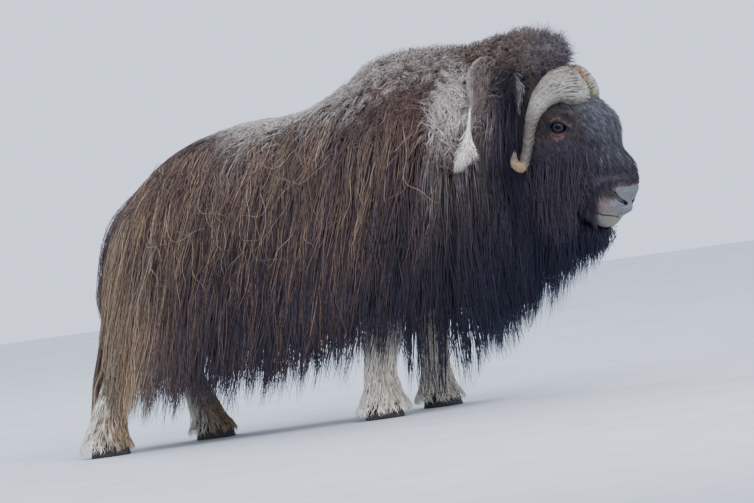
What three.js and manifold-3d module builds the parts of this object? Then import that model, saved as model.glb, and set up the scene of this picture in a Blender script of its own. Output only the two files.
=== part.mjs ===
// A life-size muskox bull, standing with its near hind leg back and its head high, turned to its right.
// Millimetres, +Z up, the nose towards +X and the animal's left towards +Y. The hooves stand on z = 0.
import * as THREE from "three";
import { mergeVertices } from "three/addons/utils/BufferGeometryUtils.js";
import Module from "manifold-3d";

const wasm = await Module();
wasm.setup();

// Driving sizes
const GAP = 0.3; // clearance between two parts that touch
const LEAN = THREE.MathUtils.degToRad(10); // how far the hanging coat leans back from the vertical
const LEAN_LEVEL = 1000; // height at which a leaning section keeps its own place along the body
const CORE = 0.5; // how deep in the coat the solid core ends, from the skin (0) to the tips (1)
const ROOT = 0.12; // the depth that the locks are rooted at, inside the core
const SEED = 1871; // start of the random draws
const HEAD_YAW = THREE.MathUtils.degToRad(28); // the head is turned to the animal's right
const HEAD_PIVOT = new THREE.Vector3(671, 0, 0); // where the head turns on the neck
const CUT_RUMP = -430; // the leaning cuts that part the body, as places along it
const CUT_FLANK = 40;
const CUT_SHOULDER = 440;
const CUT_HEAD = 690;

const FALL = new THREE.Vector3(-Math.sin(LEAN), 0, -Math.cos(LEAN)); // the way that long hair hangs

// The trunk and neck, from the buttocks to the throat: [on the skin, at the tips of the coat]
const TRUNK = [
  { at: [-800, -868], top: [740, 700], low: [640, 330], wide: [60, 110] },
  { at: [-770, -848], top: [850, 815], low: [590, 190], wide: [140, 205] },
  { at: [-690, -765], top: [940, 952], low: [560, 140], wide: [200, 270] },
  { at: [-580, -600], top: [1056, 1090], low: [560, 132], wide: [245, 315] },
  { at: [-370, -370], top: [1126, 1160], low: [570, 122], wide: [270, 335] },
  { at: [-140, -140], top: [1122, 1156], low: [580, 140], wide: [280, 340] },
  { at: [10, 10], top: [1160, 1250], low: [590, 190], wide: [285, 350] },
  { at: [140, 140], top: [1225, 1345], low: [590, 175], wide: [285, 355] },
  { at: [330, 330], top: [1245, 1362], low: [600, 160], wide: [265, 345] },
  { at: [490, 490], top: [1240, 1348], low: [640, 165], wide: [215, 310] },
  { at: [620, 620], top: [1240, 1376], low: [720, 200], wide: [160, 225] },
  { at: [700, 725], top: [1230, 1378], low: [800, 250], wide: [130, 180] },
  { at: [740, 800], top: [1150, 1290], low: [900, 380], wide: [80, 120] },
];
const TRUNK_MIDDLE = 0.62; // the widest level, as a share of a section's height
const TRUNK_SQUARE = { above: 2.4, below: 4 }; // how boxy a section is over and under that level
const HEM_DRAW = 0.1; // how far the hanging coat draws in from its widest level down to its hem

// The outline of the coat behind the rump: [height, place along the body]
const REAR = [[1013, -703], [884, -812], [777, -839], [524, -856], [286, -890], [127, -893]];
const REAR_DEPTH = 64; // from the skin of the buttocks to the tips of their coat

// Rows of locks down each flank: where they root and end, from the crest (0) past the widest level (1) to the
// hem (2), how far apart they stand, how wide and thick they are, how far they sweep back and between which
// places they grow
const ROWS = [
  { lie: "flat", root: 0.14, tip: 0.62, apart: 150, width: 134, thick: 28, sweep: -80, from: -650, to: 10 },
  { lie: "flat", root: 0.48, tip: 1.1, apart: 140, width: 128, thick: 26, sweep: -45, from: -740, to: 40 },
  { lie: "hanging", root: 0.76, tip: 1.5, apart: 150, width: 140, thick: 22, sweep: -15, from: -820, to: 740 },
  { lie: "hanging", root: 1.14, tip: 1.84, apart: 140, width: 138, thick: 22, sweep: 0, from: -845, to: 740 },
  { lie: "hanging", root: 1.44, tip: 2.07, apart: 112, width: 120, thick: 20, sweep: 0, from: -850, to: 740 },
];
// Locks that lie back along the crest of the back
const RIDGE = { from: -470, to: 10, apart: 115, length: 170, width: 116, thick: 26 };
// Locks that hang under the chest and down the throat: [place along the body, across, root height, tip height]
const CHEST = [[640, 95, 600, 215], [640, 0, 620, 230], [560, 120, 520, 175]];
const THROAT = [[745, 78, 960, 470], [735, 30, 760, 330]];
const FRONT_LOCK = { width: 108, thick: 24 };
// How a lock rises through the coat: [share of its length, depth from the skin (0) to the tips (1)]
const LIE = {
  flat: [[0, ROOT], [0.25, 0.66], [0.6, 0.84], [1, 0.92]],
  hanging: [[0, ROOT], [0.16, 0.6], [0.6, 0.86], [1, 1.06]],
};
const LEG_PARTING = { at: 175, reach: 85, lift: 0.24 }; // the skirt parts over the near foreleg

// Columns of locks down the rump, on both sides of the tail: [across, root height, tip height]
const REAR_LOCKS = [
  [70, 960, 660],
  [104, 820, 460],
  [106, 600, 270],
  [104, 430, 135],
  [38, 690, 330],
  [40, 450, 145],
];
const REAR_LOCK = { width: 92, thick: 24 };

// Woolly clumps over the shoulders and neck
const WOOL = {
  from: -70,
  to: 690,
  apart: 138,
  rings: [0, 0.21, 0.42, 0.64],
  radius: 88,
  depth: 0.42,
  rise: 1.2,
};

const HEAD_SQUARE = 2.2; // how boxy a section of the head is

// The head in its own upright plane, before it turns: [forward of the pivot, height] of its top and underside
const HEAD = [
  { top: [30, 1240], low: [30, 820], wide: 132 },
  { top: [190, 1195], low: [110, 770], wide: 136 },
  { top: [290, 1140], low: [165, 715], wide: 130 },
  { top: [388, 1066], low: [215, 670], wide: 116 },
  { top: [446, 1000], low: [262, 632], wide: 100 },
  { top: [466, 905], low: [305, 604], wide: 84 },
  { top: [484, 835], low: [335, 590], wide: 71 },
  { top: [487, 782], low: [352, 594], wide: 64 },
  { top: [477, 728], low: [366, 606], wide: 54 },
  { top: [450, 682], low: [388, 628], wide: 32 },
];
// The tuft behind the horns: a low dome, and on it rings of clumps, [tilt from upright in degrees, how many]
const CROWN = {
  at: [148, 1262],
  reach: [100, 112, 84],
  clump: 54,
  rise: 44,
  rings: [[8, 2], [42, 5], [76, 7]],
};

// The beard under the jaw and cheeks: places [forward of the pivot, height] along its roots and its hem
const JAW = [[-40, 800], [60, 790], [110, 765], [165, 712], [215, 668], [262, 632], [305, 606], [338, 594]];
const BEARD_HEM = [[-90, 235], [35, 345], [173, 404], [272, 486], [345, 556], [372, 580]];
const BEARD = { width: 98, thick: 22, lines: [-1, 0, 1], each: 5, reach: 42 };
const CHEEK = { rise: 95, length: 265, width: 92, thick: 18, each: 3 };

// Eyes, nose and mouth, in the head's own plane: [forward, to the left, height]
const EYE = { at: [250, 103, 983], radius: 26, lid: 33, slit: [25, 15], look: [0.35, 1, 0.08], tilt: -0.25 };
const MOUTH = [[304, 60, 640], [345, 54, 638], [380, 49, 642], [395, 39, 646], [401, 21, 649], [403, 0, 650]];
const LIP = { groove: 4, roll: 8, apart: 9 };
const NOSTRIL = { from: [412, 70, 724], to: [434, 27, 668], radius: 10 };

// The tuft of shed wool that hangs on the near side of the neck: [along the body, height], widths
const SHED = {
  root: [508, 1075],
  tips: [[-46, 868, 46], [-12, 850, 52], [26, 872, 46]],
  thick: 18,
  lie: [[0, ROOT], [0.2, 0.8], [0.6, 1.08], [1, 1.12]],
};
const RUFF = { from: [527, 1258], to: [517, 1092], width: 44, thick: 24 }; // a roll of wool beside it

// A horn's middle line, [forward, sideways, height], and its half sizes there
const HORN = [
  { at: [300, 4, 1138], along: 91, thick: 32 },
  { at: [272, 40, 1148], along: 84, thick: 37 },
  { at: [243, 80, 1142], along: 68, thick: 36 },
  { at: [216, 114, 1112], along: 52, thick: 33 },
  { at: [184, 140, 1068], along: 38, thick: 29 },
  { at: [162, 158, 1018], along: 28, thick: 24 },
  { at: [149, 171, 967], along: 20, thick: 20 },
  { at: [136, 186, 906], along: 17, thick: 17 },
  { at: [121, 208, 860], along: 17, thick: 17 },
  { at: [107, 235, 880], along: 13, thick: 13 },
  { at: [127, 250, 926], along: 4, thick: 4 },
];
const HORN_SQUARE = 2.3; // how boxy a section of it is
const BOSS_LIE = new THREE.Vector3(93, 0, -146).normalize(); // which way the boss is long

// An ear: its root, tip and the way it is wide, with its half width, half thickness and how deep its cup is
const EAR = {
  root: [104, 118, 1216],
  tip: [128, 184, 1060],
  across: [0.55, 0.45, 0.1],
  wide: 32,
  thick: 7,
  cup: 16,
};

// The legs' middle lines, [along the body, height], with half the leg's length and width there
const LEGS = {
  front_right: {
    side: -165,
    hoof: 49,
    line: [[49, 60, 96, 74], [52, 110, 72, 60], [58, 200, 62, 54], [90, 330, 76, 62], [150, 470, 92, 74]],
  },
  front_left: {
    side: 165,
    hoof: 272,
    line: [[262, 60, 84, 72], [262, 110, 62, 58], [266, 200, 54, 52], [270, 330, 72, 62], [290, 470, 90, 74]],
  },
  hind_right: {
    side: -155,
    hoof: -985,
    line: [[-1000, 60, 92, 74], [-985, 110, 76, 60], [-955, 200, 62, 52], [-885, 330, 66, 56], [-800, 470, 90, 72]],
  },
  hind_left: {
    side: 155,
    hoof: -592,
    line: [[-602, 60, 80, 72], [-616, 110, 62, 58], [-640, 200, 52, 50], [-690, 330, 62, 56], [-700, 470, 90, 72]],
  },
};
const HOOF = { length: 150, width: 128, height: 55, cleft: 5, slope: 0.16, toeIn: 6, heel: 6 };
const TAIL = { at: -822, length: 150, wide: 34, thick: 20, top: 850 };

const FINISH = {
  coat: { color: "#3a2a22", roughness: 0.95 },
  mane: { color: "#4a3a30", roughness: 0.95 },
  stocking: { color: "#b8a98c", roughness: 0.95 },
  horn: { color: "#b9b3a4", roughness: 0.55 },
  hoof: { color: "#2a2624", roughness: 0.6 },
  eye: { color: "#120d0b", roughness: 0.08 },
  ear: { color: "#3c3230", roughness: 0.9 },
  face: { color: "#2b2626", roughness: 0.9 },
};

// The finish of each part that isn't named for its own
const DRESS = {
  rump: "coat",
  flanks: "coat",
  shoulders: "mane",
  neck: "mane",
  head: "face",
  tail: "coat",
  leg: "stocking",
};

// Turns a closed three.js geometry into a solid.
function solidOf(geometry) {
  const bare = geometry.clone();
  bare.deleteAttribute("normal");
  bare.deleteAttribute("uv");
  const merged = mergeVertices(bare, 1e-3);
  return new wasm.Manifold(
    new wasm.Mesh({
      numProp: 3,
      vertProperties: merged.attributes.position.array,
      triVerts: new Uint32Array(merged.index.array),
    }),
  );
}

// The same geometry with its faces turned round.
function flipped(geometry) {
  const index = geometry.index.array;
  for (let i = 0; i < index.length; i += 3) [index[i + 1], index[i + 2]] = [index[i + 2], index[i + 1]];
  return geometry;
}

// A solid with its faces pointing out, whichever way its geometry was turned.
function outward(geometry) {
  const solid = solidOf(geometry);
  return solid.volume() < 0 ? solidOf(flipped(geometry)) : solid;
}

// Turns a solid back into a three.js geometry.
function geometryOf(solid) {
  const mesh = solid.getMesh();
  return new THREE.BufferGeometry()
    .setAttribute("position", new THREE.BufferAttribute(mesh.vertProperties, 3))
    .setIndex(new THREE.BufferAttribute(mesh.triVerts, 1))
    .toNonIndexed();
}

// Moves every vertex of a geometry to place(angle, along, onWall): the angle round its Y axis, its share of
// the height from 0 to 1, and whether it lies on the wall or on the axis.
function reshaped(geometry, place) {
  const points = geometry.attributes.position;
  const old = new THREE.Vector3();
  for (let i = 0; i < points.count; i++) {
    old.fromBufferAttribute(points, i);
    const moved = place(Math.atan2(old.x, old.z), old.y + 0.5, Math.hypot(old.x, old.z) > 1e-5);
    points.setXYZ(i, moved.x, moved.y, moved.z);
  }
  return geometry;
}

// A closed tube whose wall is place(angle, along); its ends are fanned from their middles.
function tube(sides, steps, place) {
  const shell = new THREE.CylinderGeometry(1, 1, 1, sides, steps);
  return outward(
    reshaped(shell, (angle, along, onWall) => {
      if (onWall) return place(angle, along);
      const around = [0, 1, 2, 3].map((quarter) => place((quarter * Math.PI) / 2, along));
      return around.reduce((sum, point) => sum.add(point), new THREE.Vector3()).divideScalar(4);
    }),
  );
}

// A random number between plus and minus a reach.
const vary = (reach) => (THREE.MathUtils.seededRandom() * 2 - 1) * reach;

const mix = ([from, to], share) => from + (to - from) * share;

// A smooth run of values through a list of stations, read at 0 (the first) to 1 (the last).
function smoothRun(stations, values) {
  const rows = stations.map(values);
  const curves = [];
  for (let k = 0; k < rows[0].length; k += 3) {
    const points = rows.map((row) => new THREE.Vector3(row[k], row[k + 1] ?? 0, row[k + 2] ?? 0));
    curves.push(new THREE.CatmullRomCurve3(points, false, "centripetal"));
  }
  return (share) => curves.flatMap((curve) => curve.getPoint(THREE.MathUtils.clamp(share, 0, 1)).toArray());
}

// The value of a line of [place, value] points at a place.
function read(line, place) {
  const next = line.findIndex(([at], i) => i > 0 && (at - place) * Math.sign(line[1][0] - line[0][0]) >= 0);
  const i = next < 0 ? line.length - 1 : next;
  const [[at0, value0], [at1, value1]] = [line[i - 1], line[i]];
  return value0 + ((value1 - value0) * THREE.MathUtils.clamp((place - at0) / (at1 - at0), 0, 1));
}

// A point of a boxy oval: (sideways, upwards) shares for an angle that starts at the top.
function oval(angle, square) {
  const side = Math.sign(Math.sin(angle)) * Math.abs(Math.sin(angle)) ** (2 / square);
  const rise = Math.sign(Math.cos(angle)) * Math.abs(Math.cos(angle)) ** (2 / square);
  return [side, rise];
}

// A place given along the body, across it and in height, moved back as far as the leaning coat is there.
const leaning = (at, across, height) =>
  new THREE.Vector3(at - Math.tan(LEAN) * (LEAN_LEVEL - height), across, height);

// A place in the head's own plane, turned with the head.
function inHead([forward, left, height]) {
  return new THREE.Vector3(
    HEAD_PIVOT.x + forward * Math.cos(HEAD_YAW) + left * Math.sin(HEAD_YAW),
    -forward * Math.sin(HEAD_YAW) + left * Math.cos(HEAD_YAW),
    height,
  );
}

const skinRun = smoothRun(TRUNK, ({ at, top, low, wide }) => [at[0], top[0], low[0], wide[0]]);
const tipRun = smoothRun(TRUNK, ({ at, top, low, wide }) => [at[1], top[1], low[1], wide[1]]);

// A section of the trunk and neck at a depth in the coat: place, top, widest level, underside, half width, hem.
function sectionAt(along, depth) {
  const skin = skinRun(along);
  const tips = tipRun(along);
  const [at, top, low, wide] = skin.map((value, k) => mix([value, tips[k]], depth));
  return { at, top, middle: mix([tips[2], tips[1]], TRUNK_MIDDLE), low, wide, hem: tips[2] };
}

// The wall of the solid core of the trunk and neck.
function trunkWall(angle, along) {
  const { at, top, middle, low, wide } = sectionAt(along, CORE);
  const [side, rise] = oval(angle, Math.cos(angle) > 0 ? TRUNK_SQUARE.above : TRUNK_SQUARE.below);
  return leaning(at, side * wide, middle + rise * (rise > 0 ? top - middle : middle - low));
}

// Where along the run of sections a place on the body lies.
function alongOf(place) {
  let [low, high] = [0, 1];
  for (let i = 0; i < 24; i++) {
    const half = (low + high) / 2;
    if (tipRun(half)[0] < place) low = half;
    else high = half;
  }
  return low;
}

// A point of the coat: place along the body, level from the crest (0) past the widest level (1) to the hem
// (2), side of the body (1 left, -1 right) and depth from the skin (0) to the tips (1).
function coatAt(place, level, side, depth) {
  const { at, top, middle, wide, hem } = sectionAt(alongOf(place), depth);
  if (level <= 1) {
    const [out, rise] = oval((level * Math.PI) / 2, TRUNK_SQUARE.above);
    return leaning(at, side * out * wide, middle + rise * (top - middle));
  }
  const drop = level - 1;
  return leaning(at, side * wide * (1 - HEM_DRAW * drop * drop), middle - drop * (middle - hem));
}

// The way out of the coat at a place.
const outOf = (place, level, side) =>
  coatAt(place, level, side, 1).sub(coatAt(place, level, side, 0)).normalize();

// A flat, tapered lock that bends along its spots from its sunk root to its tip, its flat side to facing.
function lock(spots, facing, width, thick, steps) {
  const path = new THREE.CatmullRomCurve3(spots);
  const shape = new THREE.ConeGeometry(1, 1, 3, steps);
  return outward(
    reshaped(shape, (angle, along, onWall) => {
      const spot = path.getPoint(along);
      if (!onWall) return spot;
      const course = path.getTangent(along);
      const across = new THREE.Vector3().crossVectors(course, facing).normalize();
      const out = new THREE.Vector3().crossVectors(across, course).normalize();
      const swell = (0.8 + 0.2 * along) * (1 - along ** 2.5) ** 0.8;
      spot.addScaledVector(across, Math.sin(angle) * width * 0.58 * swell);
      return spot.addScaledVector(out, Math.cos(angle) * thick * 0.67 * (1 - 0.4 * along));
    }),
  );
}

// A rounded clump of wool that stands on a spot and curls over to one side.
function clump(spot, out, radius, rise, curl) {
  const ball = new THREE.SphereGeometry(1, 5, 4);
  const across = new THREE.Vector3().crossVectors(out, new THREE.Vector3(0.3, 0.2, 1)).normalize();
  const along = new THREE.Vector3().crossVectors(across, out).normalize();
  const turn = vary(Math.PI);
  const points = ball.attributes.position;
  for (let i = 0; i < points.count; i++) {
    const [x, y, z] = [points.getX(i), points.getY(i), points.getZ(i)];
    const wideways = x * Math.cos(turn) - z * Math.sin(turn);
    const longways = x * Math.sin(turn) + z * Math.cos(turn);
    const point = spot.clone().addScaledVector(across, wideways * radius * 0.86);
    point.addScaledVector(along, longways * radius).addScaledVector(out, y * rise);
    point.addScaledVector(curl, Math.max(0, y) ** 2 * radius * 0.45);
    points.setXYZ(i, point.x, point.y, point.z);
  }
  return outward(ball);
}

// The wall of the head, turned with it.
const headRun = smoothRun(HEAD, ({ top, low, wide }) => [...top, wide, ...low]);
function headWall(angle, along) {
  const [topAt, topHeight, wide, lowAt, lowHeight] = headRun(along);
  const [side, rise] = oval(angle, HEAD_SQUARE);
  const share = (1 + rise) / 2;
  return inHead([mix([lowAt, topAt], share), side * wide, mix([lowHeight, topHeight], share)]);
}

// A ball with its own reach each way, in the head's own plane.
function headBall([forward, left, height], [reachForward, reachLeft, reachUp], sides, steps) {
  return tube(sides, steps, (angle, along) => {
    const polar = Math.PI * THREE.MathUtils.clamp(along, 0.05, 0.95);
    return inHead([
      forward + reachForward * Math.sin(polar) * Math.sin(angle),
      left + reachLeft * Math.sin(polar) * Math.cos(angle),
      height - reachUp * Math.cos(polar),
    ]);
  });
}

// A round rope through points of the head's own plane, with a radius for each share of its length.
function headRope(spots, radiusAt, sides, steps) {
  const path = new THREE.CatmullRomCurve3(spots.map((spot) => new THREE.Vector3(...spot)));
  return tube(sides, steps, (angle, along) => {
    const course = path.getTangent(along);
    const across = new THREE.Vector3().crossVectors(course, new THREE.Vector3(0, 0, 1)).normalize();
    const up = new THREE.Vector3().crossVectors(across, course);
    const radius = radiusAt(along);
    const point = path.getPoint(along).addScaledVector(across, radius * Math.sin(angle));
    return inHead(point.addScaledVector(up, radius * Math.cos(angle)).toArray());
  });
}

// One horn with its boss, on side 1 (left) or -1 (right), grown by extra on every side.
function horn(side, extra) {
  const run = smoothRun(HORN, ({ at, along, thick }) => [...at, along, thick]);
  const spot = (along) => new THREE.Vector3(...run(along).slice(0, 3));
  return tube(8, 16, (angle, along) => {
    const [, , , length, thick] = run(along);
    const course = spot(along + 0.05).sub(spot(along - 0.05)).normalize();
    course.lerp(new THREE.Vector3(0, 1, 0), 1 - THREE.MathUtils.smoothstep(along, 0, 0.25)).normalize();
    const turned = THREE.MathUtils.smoothstep(along, 0.3, 0.7);
    const long = BOSS_LIE.clone().lerp(new THREE.Vector3(1, 0, 0), turned);
    long.addScaledVector(course, -long.dot(course)).normalize();
    const out = new THREE.Vector3().crossVectors(course, long).normalize();
    const reach = along < 0.001 ? -extra : along > 0.999 ? extra : 0;
    const [lengthwise, outwards] = oval(angle, HORN_SQUARE);
    const point = spot(along)
      .addScaledVector(course, reach)
      .addScaledVector(long, (length + extra) * lengthwise)
      .addScaledVector(out, (thick + extra) * outwards);
    return inHead([point.x, side * point.y, point.z]);
  });
}

// One ear: a curved leaf, hollowed to the front, on side 1 or -1, grown by extra.
function ear(side, extra) {
  const root = new THREE.Vector3(...EAR.root);
  const tip = new THREE.Vector3(...EAR.tip);
  const course = tip.clone().sub(root).normalize();
  const across = new THREE.Vector3(...EAR.across);
  across.addScaledVector(course, -across.dot(course)).normalize();
  const out = new THREE.Vector3().crossVectors(course, across).normalize();
  return tube(10, 7, (angle, along) => {
    const swell = Math.sin(Math.PI * (0.12 + 0.86 * along)) ** 0.7;
    const wide = Math.sin(angle) * (EAR.wide * swell + extra);
    const bend = EAR.cup * (wide / EAR.wide) ** 2 * swell;
    const point = root.clone().lerp(tip, along).addScaledVector(across, wide);
    point.addScaledVector(out, bend + Math.cos(angle) * (EAR.thick * swell ** 0.5 + extra));
    return inHead([point.x, side * point.y, point.z]);
  });
}

// An eyeball, or the round of its lids, on side 1 or -1.
const eyeball = (side, radius) =>
  headBall([EYE.at[0], side * EYE.at[1], EYE.at[2]], [radius, radius, radius], 9, 6);

// The almond opening between the lids, from inside the eyeball outwards, on side 1 or -1.
function eyeOpening(side) {
  const [half, high] = EYE.slit;
  const look = new THREE.Vector3(...EYE.look).normalize();
  const long = new THREE.Vector3(1, -EYE.look[0], EYE.tilt).normalize();
  const up = new THREE.Vector3().crossVectors(long, look).normalize();
  return tube(12, 1, (angle, along) => {
    const point = new THREE.Vector3(...EYE.at)
      .addScaledVector(look, EYE.lid * 1.4 * along)
      .addScaledVector(long, half * Math.cos(angle))
      .addScaledVector(up, high * Math.sin(angle) * Math.abs(Math.sin(angle)) ** 0.4);
    return inHead([point.x, side * point.y, point.z]);
  });
}

// The line of the mouth from its left corner round the front to its right one, raised by rise.
const mouthLine = (rise) => {
  const half = MOUTH.map(([forward, side, height]) => [forward, side, height + rise]);
  const back = half.slice(0, -1).reverse();
  return [...half, ...back.map(([forward, side, height]) => [forward, -side, height])];
};

// A leg from the top of its hoof up into the body, grown by extra.
function leg({ side, line }, extra) {
  const run = smoothRun(line, (station) => station);
  return tube(12, 6, (angle, along) => {
    const [at, height, length, width] = run(along);
    const level = along < 0.001 ? HOOF.height + GAP - extra : along > 0.999 ? height + extra : height;
    const [fore, across] = [(length + extra) * Math.sin(angle), (width + extra) * Math.cos(angle)];
    return new THREE.Vector3(at + fore, side + across, level);
  });
}

// A cloven hoof: two claws, closed behind by the heel, flat on the ground.
function hoof({ side, hoof: at }) {
  const claw = (hand) =>
    tube(8, 1, (angle, along) => {
      const spread = 1 - HOOF.slope * along;
      const lengthwise = Math.cos(angle) * (HOOF.length / 2) * spread;
      const breadth = (HOOF.width / 4 - HOOF.cleft / 2) * spread;
      const toeIn = hand * (HOOF.width / 4 - HOOF.toeIn * Math.max(0, Math.cos(angle)));
      const across = toeIn + Math.sin(angle) * breadth;
      return new THREE.Vector3(at + lengthwise, side + across, HOOF.height * along);
    });
  const heel = tube(8, 1, (angle, along) =>
    new THREE.Vector3(
      at - HOOF.length * 0.22 + Math.sin(angle) * HOOF.length * 0.24,
      side + Math.cos(angle) * HOOF.width * 0.34,
      mix([HOOF.heel, HOOF.height], along),
    ));
  return wasm.Manifold.union([claw(1), claw(-1), heel]);
}

// The tail: a short flat tuft that hangs down the middle of the rump, grown by extra.
function tail(extra) {
  return tube(8, 5, (angle, along) => {
    const swell = Math.sin(Math.PI * (0.1 + 0.85 * along)) ** 0.6;
    const spot = leaning(TAIL.at, 0, TAIL.top - TAIL.length * along);
    const deep = Math.cos(angle) * (TAIL.thick * swell + extra);
    return spot.add(new THREE.Vector3(deep, Math.sin(angle) * (TAIL.wide * swell + extra), 0));
  });
}

// The block between two leaning cuts across the body.
function slab(from, to) {
  const box = new THREE.BoxGeometry(1, 1, 1);
  const corners = box.attributes.position;
  for (let i = 0; i < corners.count; i++) {
    const height = corners.getZ(i) < 0 ? -LEAN_LEVEL : 3 * LEAN_LEVEL;
    const corner = leaning(corners.getX(i) < 0 ? from : to, corners.getY(i) * 4000, height);
    corners.setXYZ(i, corner.x, corner.y, corner.z);
  }
  return solidOf(box);
}

// The largest closed piece of a solid.
const largest = (solid) =>
  solid.decompose().reduce((best, piece) => (piece.volume() > best.volume() ? piece : best));

// The locks that hang down both flanks between two places along the body.
function flankLocks(from, to) {
  const locks = [];
  for (const row of ROWS) {
    const low = Math.max(from, row.from);
    const high = Math.min(to, row.to);
    const count = Math.round((high - low) / row.apart);
    for (const side of [1, -1]) {
      for (let i = 0; i < count; i++) {
        locks.push(flankLock(row, low + ((high - low) * (i + 0.5)) / count, side));
      }
    }
  }
  return locks;
}

// One lock of a row, at a place on a side of the body.
function flankLock(row, place, side) {
  const at = place + vary(row.apart * 0.16);
  const root = row.root + vary(0.05);
  const parting = Math.max(0, 1 - Math.abs(at - LEG_PARTING.at) / LEG_PARTING.reach);
  const tip = row.tip - (side < 0 && row.tip > 1.7 ? LEG_PARTING.lift * parting : 0) + vary(0.06);
  const sweep = row.sweep + vary(16);
  const stand = vary(0.1);
  const spots = LIE[row.lie].map(([share, depth]) =>
    coatAt(at + sweep * share, mix([root, tip], share), side, depth + stand * share));
  const facing = outOf(at, mix([root, tip], 0.4), side);
  facing.x += vary(0.25);
  return lock(spots, facing, row.width * (1 + vary(0.15)), row.thick, row.lie === "flat" ? 3 : 4);
}

// The locks that lie back along the crest of the back between two places.
function ridgeLocks(from, to) {
  const low = Math.max(from, RIDGE.from);
  const high = Math.min(to, RIDGE.to);
  const count = Math.max(0, Math.round((high - low) / RIDGE.apart));
  return Array.from({ length: count }, (_, i) => {
    const at = low + ((high - low) * (i + 0.7)) / count + vary(12);
    const level = vary(0.05);
    const spots = LIE.flat.map(([share, depth]) =>
      coatAt(at - RIDGE.length * share, Math.abs(level) * (1 + share), Math.sign(level), depth));
    return lock(spots, new THREE.Vector3(vary(0.2), vary(0.3), 1), RIDGE.width, RIDGE.thick, 3);
  });
}

// The locks that hang under the chest or down the throat, on both sides.
function frontLocks(places) {
  return places.flatMap(([place, across, root, tip]) =>
    (across ? [1, -1] : [1]).map((side) => {
      const end = tip + vary(24);
      const spots = [0, 0.3, 0.65, 1].map((share) =>
        leaning(place + vary(8), side * (across + 12 * share), mix([root, end], share)));
      const facing = new THREE.Vector3(1, side * across * 0.006 + vary(0.3), 0);
      return lock(spots, facing, FRONT_LOCK.width * (1 + vary(0.12)), FRONT_LOCK.thick, 4);
    }));
}

// The locks that hang down the rump, on both sides of the tail.
function rumpLocks() {
  const behind = (across, height, depth) =>
    leaning(read(REAR, height) + REAR_DEPTH * (1 - depth), across, height);
  return REAR_LOCKS.flatMap(([across, root, tip]) =>
    [1, -1].map((side) => {
      const [top, end] = [root + vary(18), tip + vary(24)];
      const stand = vary(0.1);
      const spots = [[0, -0.1], [0.2, 0.6], [0.55, 0.86], [1, 0.9]].map(([share, depth]) =>
        behind(side * (across + 10 * share), mix([top, end], share), depth + stand * share));
      const facing = new THREE.Vector3(-1, vary(0.3) + side * across * 0.004, 0);
      return lock(spots, facing, REAR_LOCK.width * (1 + vary(0.12)), REAR_LOCK.thick, 4);
    }));
}

// The woolly clumps over the shoulders and neck between two places along the body.
function woolClumps(from, to) {
  const low = Math.max(from, WOOL.from);
  const high = Math.min(to, WOOL.to);
  const count = Math.round((high - low) / WOOL.apart);
  const clumps = [];
  for (const side of [1, -1]) {
    WOOL.rings.forEach((ring, order) => {
      if (ring === 0 && side < 0) return;
      for (let i = 0; i < count; i++) {
        const place = low + ((high - low) * (i + 0.25 + 0.5 * (order % 2))) / count + vary(12);
        const level = ring + Math.abs(vary(0.03));
        const spot = coatAt(place, level, side, WOOL.depth);
        const out = outOf(place, level, side);
        const rise = coatAt(place, level, side, 1).distanceTo(spot) * WOOL.rise * (1 + vary(0.12));
        const curl = new THREE.Vector3(-1, vary(0.8), -0.5);
        clumps.push(clump(spot, out, WOOL.radius * (1 + vary(0.15)), rise, curl));
      }
    });
  }
  return clumps;
}

// A lock that grows from a spot on the head, leaves it along out and hangs to a height.
function hangingLock(spot, out, tip, width, thick, steps) {
  const start = spot.clone().addScaledVector(out, -20);
  const drop = (spot.z - tip) / Math.cos(LEAN);
  const swing = out.clone().multiplyScalar(14).add(new THREE.Vector3(vary(10), vary(10), 0));
  const spots = [
    start,
    spot.clone().addScaledVector(out, 10).addScaledVector(FALL, drop * 0.15),
    spot.clone().add(swing).addScaledVector(FALL, drop * 0.55),
    spot.clone().add(swing).addScaledVector(FALL, drop),
  ];
  const facing = out.clone().setZ(0).add(new THREE.Vector3(vary(0.2), vary(0.2), 0)).normalize();
  return lock(spots, facing, width, thick, steps);
}

// The beard under the jaw and the long hair of the cheeks.
function beardLocks() {
  const locks = [];
  const [first, last] = [JAW[0][0], JAW[JAW.length - 1][0]];
  for (const line of BEARD.lines) {
    for (let i = 0; i < BEARD.each; i++) {
      const forward = mix([first, last - 26 * Math.abs(line)], (i + 0.5) / BEARD.each) + vary(10);
      const height = read(JAW, forward) + 14 + 26 * Math.abs(line);
      const side = line * mix([108, 46], (forward - first) / (last - first));
      const out = inHead([0.25, Math.sign(line), 0]).sub(inHead([0, 0, 0])).normalize();
      const tip = read(BEARD_HEM, forward) - BEARD.reach + 12 * Math.abs(line) + vary(24);
      const width = BEARD.width * (1 + vary(0.15));
      locks.push(hangingLock(inHead([forward, side, height]), out, tip, width, BEARD.thick, 4));
    }
  }
  for (const side of [1, -1]) {
    for (let i = 0; i < CHEEK.each; i++) {
      const forward = mix([0, 235], (i + 0.5) / CHEEK.each) + vary(10);
      const height = read(JAW, forward) + CHEEK.rise + vary(14);
      const spot = inHead([forward, side * mix([128, 92], i / CHEEK.each), height]);
      const out = inHead([0.2, side, 0]).sub(inHead([0, 0, 0])).normalize();
      const tip = height - CHEEK.length * (1 + vary(0.12));
      locks.push(hangingLock(spot, out, tip, CHEEK.width, CHEEK.thick, 3));
    }
  }
  return locks;
}

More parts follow.
